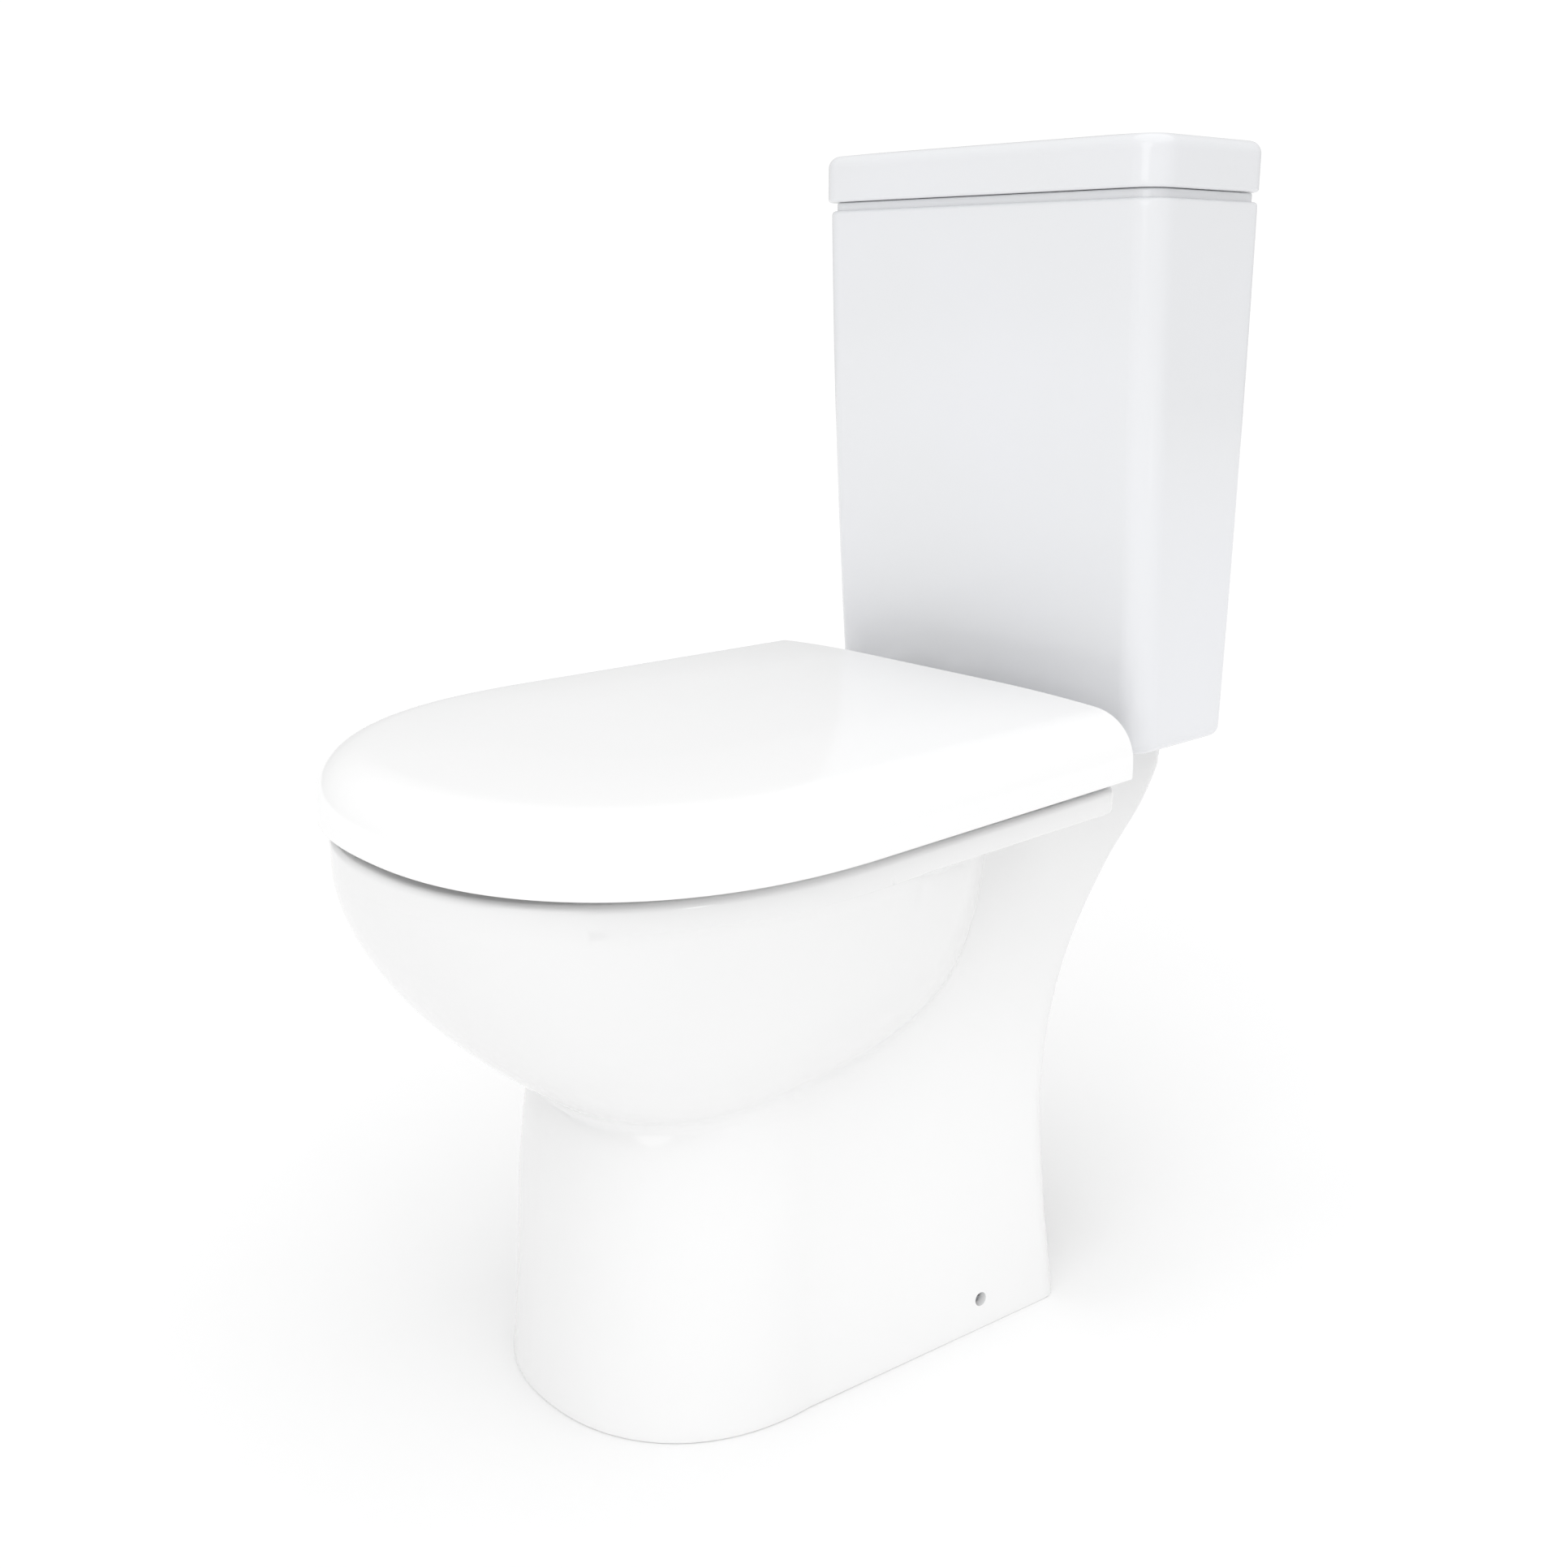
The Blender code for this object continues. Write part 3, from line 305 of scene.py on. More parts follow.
def pan_outside():
    """The outside of the china: rings up the pedestal and bowl, then under, round and over the slab.

    A ring's reach is the larger of the pedestal's and the bowl's, with a fillet in between.
    """
    outline = spread(deck_outline(), PAN_COLUMNS)
    away = outline - HEART
    turns = np.sort(np.arctan2(away[:, 1], away[:, 0]))
    deck = reach(outline, HEART, turns)
    heights = np.concatenate([np.arange(0.0022, 0.19, 0.0045), np.arange(0.19, 0.3711, 0.0014)])
    body = blend_max(pedestal_reach(turns, heights), bowl_reach(turns, heights), 0.012)
    step = deck - body[-1]
    flush = np.clip((0.0045 - step) / 0.003, 0, 1)      # where the bowl runs into the rim without a step
    body += np.outer(np.clip((heights - 0.335) / 0.036, 0, 1) ** 2, flush * step)
    rings = [around(HEART, turns, body[0] * part, 0) for part in (0.3, 0.7)]
    rings += [around(HEART, turns, body[0] - 0.0022 * b, 0.0022 * a) for a, b in quarter(5)[:-1]]
    rings += [around(HEART, turns, far, z) for far, z in zip(body, heights)]
    overhang = np.maximum(deck - body[-1], 0)
    edge = 0.0016 * np.clip((overhang - 0.0004) / 0.004, 0, 1)
    fillet = np.clip(overhang - edge, 0.00001, 0.006)
    for part in (0.03, 0.08, 0.15, 0.25, 0.4, 0.65, 1.0):
        out = part * (overhang - edge)
        short = np.clip(1 - out / fillet, 0, 1)
        rings.append(around(HEART, turns, body[-1] + out, SLAB_UNDER - fillet * short ** 2))
    rings += [around(HEART, turns, deck - edge * b, SLAB_UNDER + edge * a) for a, b in quarter(5)[1:]]
    rings += [around(HEART, turns, deck - 0.0035 * a, PLATFORM - 0.0035 * b) for a, b in quarter(8)]
    rings += [around(HEART, turns, deck - inset, PLATFORM) for inset in (0.0065, 0.012)]
    rings += [around(HEART, turns, deck * part, PLATFORM) for part in (0.6, 0.3)]
    return fuse(skin("pan_china", rings), [rim_bead()])


def rim_bead():
    """The part of the rim slab that stands above the platform, with a rounded top edge.

    It is 0.04 mm wider than the slab, so that the two have no face in common.
    """
    outline = spread(SLAB, PAN_COLUMNS)
    turns = np.sort(np.arctan2(*(outline - HEART).T[::-1]))
    far = reach(outline, HEART, turns) + 0.00004
    rings = [around(HEART, turns, far, z) for z in (PLATFORM - 0.0060, PLATFORM - 0.0030)]
    rings += [around(HEART, turns, far - 0.0045 * a, RIM_TOP - 0.0045 * b) for a, b in quarter(9)]
    rings += [around(HEART, turns, far - inset, RIM_TOP) for inset in (0.0065, 0.012)]
    return skin("rim_bead", rings)


def cavity(name, offset, heights, lip=0.0, columns=260):
    """The bowl's inside in egg-shaped sections, with a rounded lip where it opens through the rim."""
    turns = np.linspace(-PI, PI, columns, endpoint=False)
    rings = []
    for z, (half, front, rear) in zip(heights, through(CAVITY, heights)):
        centre = np.array([0, from_wall((front + rear) / 2)])
        outline = egg(half + offset, 0.248 + 0.4 * rear, front + offset, rear - offset)
        far = reach(outline, centre, turns)
        rings.append(around(centre, turns, far, z))
    if lip:
        rings += [around(centre, turns, far + lip * b, z + lip * (1 - a)) for a, b in quarter(7)[::-1]]
        rings.append(rings[-1] + [0, 0, 0.01])
    return skin(name, rings)


def make_pan():
    """The china casting: its outside, hollowed from below and behind, and what runs through it.

    The hollow is the pedestal's outline less its wall. The bowl's wall, the trapway's tube, the
    spigot and the water channel are joined in, and then their insides and the holes are cut.
    """
    pan = pan_outside()
    turns = np.linspace(-PI, PI, 240, endpoint=False)
    heights = np.concatenate([[-0.01], np.linspace(0.004, SLAB_UNDER, 60)])
    inside = pedestal_reach(turns, np.maximum(heights, 0), CHINA_WALL)
    hollow = skin("hollow", [around(HEART, turns, far, z) for far, z in zip(inside, heights)])
    round_top = np.linspace(0, PI / 2, 16)
    arch = [(-0.084, -0.01), (0.084, -0.01)]
    arch += [(0.054 + 0.03 * math.cos(t), 0.27 + 0.03 * math.sin(t)) for t in round_top]
    arch += [(-0.054 - 0.03 * math.sin(t), 0.27 + 0.03 * math.cos(t)) for t in round_top]
    arch = spread(np.array(arch), 300)
    opening = skin("opening", [np.column_stack([arch[:, 0], np.full(300, from_wall(depth)), arch[:, 1]])
                               for depth in (0.200, -0.02)])
    spigot_z = TRAP[-1][1]
    inner = cavity("wall", 0.010, np.linspace(0.100, 0.352, 50), columns=160)
    spigot = turned("spigot", [(0.051, from_wall(0.150)), (0.051, from_wall(0.102)),
                               (0.0504, from_wall(0.1006)), (0.049, from_wall(0.100))],
                    (0, 0, spigot_z), "Y", 80)
    levels = ((0.318, 0.030, 0.075), (0.322, 0.040, 0.060), (0.338, 0.046, 0.022), (0.350, 0.048, 0.011),
              (0.382, 0.048, 0.0095))
    water = skin("water", [np.column_stack([spread(round_front(half, half, 0.200, 0.238, rear, 0.020), 160),
                                            np.full(160, z)]) for z, half, rear in levels])
    bowl_heights = np.concatenate([np.linspace(0.100, 0.345, 60), np.linspace(0.347, RIM_TOP - 0.006, 26)])
    bowl = cavity("bowl", 0.0, bowl_heights, 0.006)
    bore = sweep("bore", [(TRAP[0][0] + 0.004, TRAP[0][1]), *TRAP[1:-1], (TRAP[-1][0] - 0.004, spigot_z)],
                 0.032)
    spigot_bore = turned("spigot_bore", [(0.043, from_wall(0.136)), (0.043, from_wall(0.080))],
                         (0, 0, spigot_z), "Y", 80)
    valve = middle_of("flush_valve_tower")
    inlet = turned("inlet", [(0.031, 0.343), (0.031, 0.387), (0.0318, 0.3884), (0.034, 0.3892),
                             (0.034, 0.41)], (valve[0], valve[1], 0))
    channel_outline = spread(np.array([(-0.034, from_wall(0.230)), (0.034, from_wall(0.230)),
                                       (0.034, from_wall(0.045)), (-0.034, from_wall(0.045))]), 80)
    channel = skin("channel", [np.column_stack([channel_outline, np.full(80, z)]) for z in (0.331, 0.368)])
    holes = []
    for side in SIDES:
        for node, top in (("coupling_bolt_", PLATFORM), ("hinge_post_", RIM_TOP)):
            x, y, _ = middle_of(node + side)
            holes.append(turned("hole", [(0.0060, 0.36), (0.0060, top - 0.0015), (0.0072, top),
                                         (0.0072, 0.41)], (x, y, 0), columns=32))
        x, y, z = middle_of("side_screw_" + side)
        holes.append(turned("side_hole", [(0.005, -0.02), (0.005, 0.02)],
                            (x + math.copysign(0.018, x), y, z), "X", 32))
    fuse(pan, [], [hollow, opening])
    fuse(pan, [fuse(inner, [sweep("tube", TRAP, 0.041), spigot, water])],
         [bowl, bore, spigot_bore, inlet, channel, *holes])
    return pan


# ---------------------------------------------------------------- the cistern

def block(half, front, back, big, small):
    """A rectangle's outline with big front corners and small back ones, points along its sides too."""
    arcs = [corner(half, back, small, 0, 9), corner(-half, back, small, 90, 9)]
    for x, start in ((-half, 180), (half, 270)):
        turn = np.radians(np.linspace(start, start + 90, 19))
        centre = np.array([x - math.copysign(big, x), from_wall(front - big)])
        arcs.append(centre + big * np.column_stack([np.cos(turn), np.sin(turn)]))
    filled = []
    for arc, following in zip(arcs, arcs[1:] + arcs[:1]):
        filled += [arc, np.linspace(arc[-1], following[0], 14)[1:-1]]
    return np.vstack(filled)


def make_tank():
    """Rings down inside the tank's walls and up outside them, over the neck.

    Its sides and front lean in towards the bottom and swell by 1 to 2 mm half way up.
    """
    low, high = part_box("cistern_tank")
    neck = high.z
    shoulder = neck - 0.0057

    def outline(z, inset):
        rise = min((z - low.z) / (shoulder - low.z), 1)
        swell = 4 * rise * (1 - rise)
        half = 0.1485 + 0.0020 * rise + 0.0012 * swell - inset
        front = 0.100 + 0.0185 * rise + 0.0018 * swell - inset
        plan = block(half, front, max(inset, 0.0003), max(0.019 - inset, 0.004), max(0.010 - inset, 0.003))
        return np.column_stack([plan, np.full(len(plan), z)])

    floor = low.z + 0.010
    rings = [outline(floor, 0.020 + 0.02 * k) for k in (2, 1)]
    rings += [outline(floor + 0.010 * b, 0.009 + 0.010 * (1 - a)) for a, b in quarter(7)[::-1]]
    rings += [outline(z, 0.009) for z in np.linspace(floor + 0.02, neck - 0.002, 14)]
    rings += [outline(neck - 0.0012 * b, 0.009 - 0.0012 * a) for a, b in quarter(4)]
    rings += [outline(neck - 0.0012 * b, 0.004 + 0.0012 * a) for a, b in quarter(4)[::-1]]
    rings += [outline(shoulder, 0.004)]
    rings += [outline(shoulder - 0.0030 * b, 0.0030 * a) for a, b in quarter(6)[::-1]]
    rings += [outline(z, 0) for z in np.linspace(shoulder - 0.006, low.z + 0.014, 40)]
    rings += [outline(low.z + 0.009 * b, 0.009 * a) for a, b in quarter(9)]
    rings += [outline(low.z, inset) for inset in (0.012, 0.03)]
    tank = skin("cistern_china", rings)
    valve = middle_of("flush_valve_tower")
    holes = [turned("valve_hole", [(0.0305, 0.38), (0.0305, 0.43)], (valve[0], valve[1], 0), columns=64)]
    for node, radius in (("fill_valve_back_nut", 0.0105), ("coupling_bolt_left", 0.0055),
                         ("coupling_bolt_right", 0.0055)):
        x, y, _ = middle_of(node)
        holes.append(turned("hole", [(radius, 0.38), (radius, 0.43)], (x, y, 0), columns=32))
    for x in (-0.1, 0.1):
        holes.append(turned("wall_screw_hole", [(0.004, WALL_Y - 0.03), (0.004, WALL_Y + 0.01)],
                            (x, 0, 0.715), "Y", 32))
    return fuse(tank, [], holes)


def make_cistern_lid():
    """Rings out of the recess, round the rim and up the side, and over a top with a low crown."""
    low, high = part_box("cistern_lid")
    half, front = high.x, high.y - low.y
    crown = 0.0033
    top = high.z - crown

    def outline(z, inset):
        plan = block(half - inset, front - inset, inset, max(0.021 - inset, 0.003), max(0.014 - inset, 0.003))
        return np.column_stack([plan, np.full(len(plan), z)])

    ceiling = top - 0.009
    rings = [outline(ceiling, 0.05), outline(ceiling, 0.026)]
    rings += [outline(ceiling - 0.006 * a, 0.018 + 0.006 * b) for a, b in quarter(6)]
    rings += [outline(low.z + 0.0015 * a, 0.017 - 0.0015 * b) for a, b in quarter(4)[::-1]]
    rings += [outline(low.z + 0.0022 * a, 0.0022 * b) for a, b in quarter(6)]
    rings += [outline(z, 0) for z in np.linspace(low.z + 0.004, top - 0.009, 6)]
    rings += [outline(top - 0.0085 * b, 0.0085 * a) for a, b in quarter(10)]
    edge = rings[-1]
    middle = edge.mean(0)
    for part in (0.97, 0.92, 0.84, 0.74, 0.62, 0.5, 0.38, 0.26, 0.14):
        ring = middle + (edge - middle) * part
        ring[:, 2] = top + crown * (1 - part ** 2)
        rings.append(ring)
    lid = skin("cistern_lid_china", rings)
    x, y, _ = middle_of("button_bezel")
    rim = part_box("button_bezel")[1]
    sink = [(0.0215, top - 0.05), (0.0215, rim.z - 0.0038), (rim.x - x + 0.0007, rim.z - 0.0038),
            (rim.x - x + 0.0007, rim.z - 0.0012), (rim.x - x + 0.0020, rim.z),
            (rim.x - x + 0.0020, rim.z + 0.01)]
    return fuse(lid, [], [turned("button_sink", sink, (x, y, 0), columns=128)])


# ---------------------------------------------------------------- the push button

def make_bezel():
    """A sleeve through the lid with a rim that rolls over as a quarter ellipse into the button's well."""
    low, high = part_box("button_bezel")
    x, y, _ = middle_of("button_bezel")
    outer = high.x - x
    rim = high.z - 0.0035
    profile = [(0.0208, low.z), (0.0208, rim), (outer - 0.0006, rim), (outer, rim + 0.0004)]
    profile += [(0.0228 + (outer - 0.0228) * math.cos(t), rim + 0.0006 + 0.0029 * math.sin(t))
                for t in np.linspace(0, PI / 2, 9)]
    profile += [(0.0200 - 0.0008 * math.sin(t), high.z - 0.0008 * (1 - math.cos(t)))
                for t in np.linspace(0, PI / 2, 5)]
    profile += [(0.0192, low.z)]
    return turned("button_bezel_chrome", profile, (x, y, 0), columns=128, ends=False)


def make_button(side, word):
    """A round button's part on one side of the dividing line: rounded edges and a shallow dish."""
    low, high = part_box(word + "_flush_button")
    x, y, _ = middle_of("button_bezel")
    radius = (high.y - low.y) / 2
    line = (low.x if side > 0 else high.x) - x
    turn = math.acos(line / radius)
    span = np.linspace(-turn, turn, 160) if side > 0 else np.linspace(turn, 2 * PI - turn, 160)
    plan = spread(radius * np.column_stack([np.cos(span), np.sin(span)]), 200)
    middle = plan.mean(0)
    away = plan - middle
    far = np.hypot(*away.T)
    away /= far[:, None]
    rings = []

    def ring(inset, z):
        out = middle + away * np.maximum(far - inset, 0)[:, None]
        rings.append(np.column_stack([x + out[:, 0], y + out[:, 1], np.full(200, 1.0) * z]))

    ring(0.004, low.z)
    ring(0, low.z)
    for a, b in quarter(7):
        ring(0.0011 * a, high.z - 0.0011 * b)
    for part in (0.85, 0.7, 0.5, 0.3, 0.12):
        ring(far * (1 - part), high.z - 0.0006 * (1 - part ** 2))
    return skin(word + "_button_chrome", rings)


# ---------------------------------------------------------------- the seat

def make_seat_ring():
    """A ring section carried round the seat: flat below, rounded above, between two outlines.

    Across the section C = cos t and up it S = sin t, each raised to a power below one.
    """
    centre = np.array([0, from_wall(0.400)])
    outside = round_front(0.181, 0.174, 0.390, 0.5955, 0.190, 0.020)
    turns = np.sort(np.arctan2(*(spread(outside, 420) - centre).T[::-1]))
    outer = reach(outside, centre, turns)
    inner = reach(egg(0.103, 0.400, 0.528, 0.262), centre, turns)
    base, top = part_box("seat_ring")[0].z, 0.419
    seat_line = base + 0.005
    rings = []
    for t in np.linspace(-PI, PI, 56, endpoint=False):
        across_power, up_power = (0.30, 0.30) if math.sin(t) < 0 else (0.55, 0.62)
        across = math.copysign(abs(math.cos(t)) ** across_power, math.cos(t))
        up = math.copysign(abs(math.sin(t)) ** up_power, math.sin(t))
        far = (outer + inner) / 2 + (outer - inner) / 2 * across
        z = seat_line + (top - seat_line if up > 0 else seat_line - base) * up
        rings.append(around(centre, turns, far, z))
    seat = skin("seat_ring_gloss", rings, ends=False)
    lugs = [lug(sign * 0.0570, 0.0055, 0.0080, 0.024) for sign in (-1, 1)]
    return fuse(seat, lugs, [pin_bore("seat_pin_bore")])


def lug(x, half, radius, behind, top=None):
    """A hinge eye about the pin, drawn out into a web: forward and level, or straight up."""
    y, z = middle_of("hinge_pin_left")[1:]
    turn = np.linspace(0, PI, 25)
    if top is None:
        outline = [(-behind, radius * 0.30), (-behind, -radius * 0.9)]
        outline += [(radius * math.sin(t), -radius * math.cos(t)) for t in turn]
    else:
        outline = [(-radius, top - z)] + [(-radius * math.cos(t), -radius * math.sin(t)) for t in turn]
        outline += [(radius, top - z)]
    plan = spread(np.array(outline), 90)
    middle = plan.mean(0)
    rings = []
    for inset, place in ((0.0008, -half), (0, -half + 0.0008), (0, half - 0.0008), (0.0008, half)):
        away = plan - middle
        shrunk = middle + away * (1 - inset / np.hypot(*away.T))[:, None]
        rings.append(np.column_stack([np.full(90, x + place), y + shrunk[:, 0], z + shrunk[:, 1]]))
    return skin("lug", rings)


def pin_bore(name):
    """The hinge pins' clearance hole, right across the seat."""
    y, z = middle_of("hinge_pin_left")[1:]
    return turned(name, [(0.0041, -0.15), (0.0041, 0.15)], (0, y, z), "X", 40)


def make_seat_lid():
    """A D-shaped dome with its walls turned down: it rises from the edge as a superellipse.

    At a distance d in from the outline the top is at 1 - (1 - d / 34 mm)^2.2, to the power
    1 / 2.2, of the shoulder's height, and a 5 mm crown is added over 120 mm.
    """
    low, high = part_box("seat_lid")
    edge, crown = low.z, high.z
    rear, front = 0.152, WALL_Y - low.y
    shoulder, flat = edge + 0.0105, crown - 0.0050

    def outline(inset, z, start, power=2.3):
        arc = half_oval(0.190 - inset, 0.395, front - inset, power, 221)
        side = np.linspace(0, 1, 60)[:, None]
        right = (1 - side) * [0.1830 - inset, from_wall(start)] + side * arc[0]
        plan = np.vstack([right[:-1], arc, (right * [-1, 1])[::-1][1:]])
        return np.column_stack([plan, np.full(len(plan), z)])

    def top(inset, wall):
        steep = min(inset / 0.034, 1)
        rise = (1 - (1 - steep) ** 2.2) ** (1 / 2.2)
        gentle = 1 - (1 - min(inset / 0.120, 1)) ** 2
        return shoulder + (flat - shoulder - wall) * rise + 0.0050 * gentle

    insets = np.concatenate([0.034 * np.linspace(0, 1, 22) ** 2.2, np.linspace(0.040, 0.178, 20)])

    def shell(name, wall, start, bottom):
        rings = [outline(wall + 0.03, bottom, start), outline(wall + 0.004, bottom, start)]
        if wall == 0:
            rings = [outline(0.012, bottom, start)]
            rings += [outline(0.0022 * b, bottom + 0.0022 * a, start) for a, b in quarter(6)]
        rings += [outline(wall, z, start) for z in np.linspace(bottom + 0.003, shoulder, 5)[:-1]]
        rings += [outline(wall + inset, top(inset, wall), start) for inset in insets if inset + wall < 0.180]
        return skin(name, rings)

    lid = shell("seat_lid_gloss", 0.0, rear, edge)
    inside = shell("inside", 0.0055, rear + 0.005, edge - 0.01)
    gap_plan = spread(np.array([(-0.1755, 0.380), (0.1755, 0.380), (0.1755, 0.426), (0.1735, 0.428),
                                (-0.1735, 0.428), (-0.1755, 0.426)]), 200)
    gap = skin("gap", [np.column_stack([gap_plan[:, 0], np.full(200, from_wall(depth)), gap_plan[:, 1]])
                       for depth in (rear + 0.010, rear - 0.012)])
    fuse(lid, [], [inside, gap])
    lugs = [lug(sign * 0.0980, 0.0055, 0.0080, 0, crown - 0.0040) for sign in (-1, 1)]
    return fuse(lid, lugs, [pin_bore("lid_pin_bore")])


# ---------------------------------------------------------------- turned and moulded hardware

COLLARS = [("coupling_gasket", 0.0345, 0.0020), ("valve_base_washer", 0.0290, 0.0006),
           ("valve_back_nut", 0.0289, 0.0006), ("button_nut", 0.0212, 0.0008),
           ("fill_valve_washer", 0.0100, 0.0006), ("flush_seal", 0.0138, 0.0006)]
COLLARS += [(name + side, bore, edge) for side in SIDES
            for name, bore, edge in (("clamp_washer_", 0.0043, 0.0004), ("hinge_pad_", 0.0038, 0.0003),
                                     ("hinge_washer_", 0.0034, 0.0006))]
BARS = [(f"seat_buffer_{k}", 0.0022, "Z") for k in (1, 2, 3, 4)]
BARS += [("lid_buffer_" + side, 0.0020, "Z") for side in SIDES]
BARS += [("float_rod", 0.0004, "Z"), ("lever_pin", 0.0004, "X")]
BARS += [("hinge_pin_" + side, 0.0007, "X") for side in SIDES]


def fitted(node, bore, edge, axis="Z"):
    """A round bar or, with a bore, a collar that fills its CAD node's box, with rounded edges."""
    low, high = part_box(node)
    k = "XYZ".index(axis)
    radius = (high.x - low.x) / 2 if axis == "Z" else (high.z - low.z) / 2
    place = middle_of(node)
    place[k] = 0
    if bore:
        profile = collar_profile(radius, bore, low[k], high[k], edge)
        return turned(node + "_fine", profile, place, axis, 80, False)
    return turned(node + "_fine", bar_profile(radius, low[k], high[k], edge), place, axis, 48)


def thread(radius, low, high, pitch, deep):
    """A thread's profile, drawn as one groove a pitch between two heights."""
    count = max(int((high - low) / pitch), 1)
    marks = np.linspace(low, high, 2 * count + 1)
    return [(radius - deep * (k % 2), z) for k, z in enumerate(marks)]


def make_cone_washer(node):
    """A rubber washer that tapers from a wide foot to a narrow top round its bolt's hole."""
    low, high = (corner.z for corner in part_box(node))
    profile = [(0.0116, low), (0.0120, low + 0.0004), (0.0083, high - 0.0005), (0.0077, high), (0.0046, high),
               (0.0043, high - 0.0003), (0.0043, low + 0.0003), (0.0046, low)]
    return turned(node + "_fine", profile, middle_of(node) * [1, 1, 0], ends=False)


def make_coupling_bolt(node):
    """A pan-head bolt with a screwdriver slot across it and a thread down to its tip."""
    low, high = (corner.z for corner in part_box(node))
    x, y, _ = middle_of(node)
    under = high - 0.005
    profile = [(0.0030, low)] + thread(0.0040, low + 0.0008, under - 0.012, 0.00125, 0.0004)
    profile += [(0.0040, under), (0.0069, under), (0.0075, under + 0.0006)]
    profile += [(0.0075 - 0.0045 * a, high - 0.0030 * b) for a, b in quarter(9)]
    bolt = turned(node + "_fine", profile, (x, y, 0))
    plan = spread(np.array([(-0.01, -0.0007), (0.01, -0.0007), (0.01, 0.0007), (-0.01, 0.0007)]), 40)
    slot = skin("slot", [np.column_stack([x + plan[:, 0], y + plan[:, 1], np.full(40, z)])
                         for z in (high - 0.0018, high + 0.002)])
    return fuse(bolt, [], [slot])


def make_side_screw(node):
    """A cheese-head screw along X with a slot across its outer end."""
    low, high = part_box(node)
    x, y, z = middle_of(node)
    way = math.copysign(1, x)
    tip, end = (low.x, high.x) if way > 0 else (-high.x, -low.x)
    profile = [(0.0018, tip)] + thread(0.0030, tip + 0.0016, end - 0.006, 0.0012, 0.0004)
    profile += [(0.0030, end - 0.004), (0.0041, end - 0.004), (0.0044, end - 0.0037)]
    profile += [(0.0044 - 0.0010 * a, end - 0.0010 * b) for a, b in quarter(6)]
    screw = turned(node + "_fine", [(r, way * h) for r, h in profile], (0, y, z), "X")
    plan = spread(np.array([(-0.006, -0.0006), (0.006, -0.0006), (0.006, 0.0006), (-0.006, 0.0006)]), 32)
    slot = skin("slot", [np.column_stack([np.full(32, way * h), y + plan[:, 0], z + plan[:, 1]])
                         for h in (end - 0.0016, end + 0.002)])
    return fuse(screw, [], [slot])


def make_wing_nut(node, bore):
    """A hub with two wings that thin towards their rounded tips."""
    low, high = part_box(node)
    x, y, _ = middle_of(node)
    hub = turned(node + "_fine", collar_profile(0.0075, bore, low.z + 0.0015, high.z, 0.0006), (x, y, 0),
                 ends=False)
    turn = np.linspace(0, 2 * PI, 72, endpoint=False)
    reach_y = high.y - y
    sections = []
    for part in np.linspace(-1, 1, 25):
        thick = 0.0017 * (1 - 0.45 * abs(part))
        tall = 0.0037 * (1 - abs(part) ** 6 * 0.85)
        ring = np.column_stack([x + thick * np.sign(np.cos(turn)) * np.abs(np.cos(turn)) ** 0.5,
                                np.full(72, y + reach_y * part),
                                low.z + 0.0038 + tall * np.sign(np.sin(turn)) * np.abs(np.sin(turn)) ** 0.5])
        sections.append(ring)
    wings = skin("wings", sections)
    clear = turned("bore", [(bore, low.z - 0.01), (bore, high.z + 0.01)], (x, y, 0), columns=48)
    return fuse(hub, [wings], [clear])


def make_hinge_post(node):
    """A round foot, a web that swells up into the eye of the pin, and a threaded stud below."""
    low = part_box(node)[0]
    x, y, _ = middle_of(node)
    pin = middle_of(node.replace("post", "pin"))
    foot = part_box(node.replace("post", "pad"))[1].z + FIT_GAP
    profile = [(0.0022, low.z)] + thread(0.0030, low.z + 0.0008, foot - 0.004, 0.001, 0.0003)
    profile += [(0.0030, foot), (0.0096, foot), (0.0100, foot + 0.0004)]
    profile += [(0.0100 - 0.0016 * a, foot + 0.0030 - 0.0016 * b) for a, b in quarter(7)]
    post = turned(node + "_fine", profile, (x, y, 0), columns=80)
    turn = np.linspace(0, PI, 33)
    side = [(0.0075 * math.cos(t), 0.0075 * math.sin(t)) for t in turn]
    side += [(-0.0070, foot + 0.0015 - pin[2]), (0.0070, foot + 0.0015 - pin[2])]
    plan = spread(np.array(side), 110)
    rings = [np.column_stack([np.full(110, x + place), y + plan[:, 0] * size, pin[2] + plan[:, 1] * size])
             for size, place in ((0.90, -0.0090), (0.97, -0.0087), (1.0, -0.0080),
                                 (1.0, 0.0080), (0.97, 0.0087), (0.90, 0.0090))]
    eye = skin("eye", rings)
    bore = turned("bore", [(0.0039, x - 0.02), (0.0039, x + 0.02)], (0, pin[1], pin[2]), "X", 40)
    return fuse(post, [eye], [bore])


# ---------------------------------------------------------------- inside the cistern

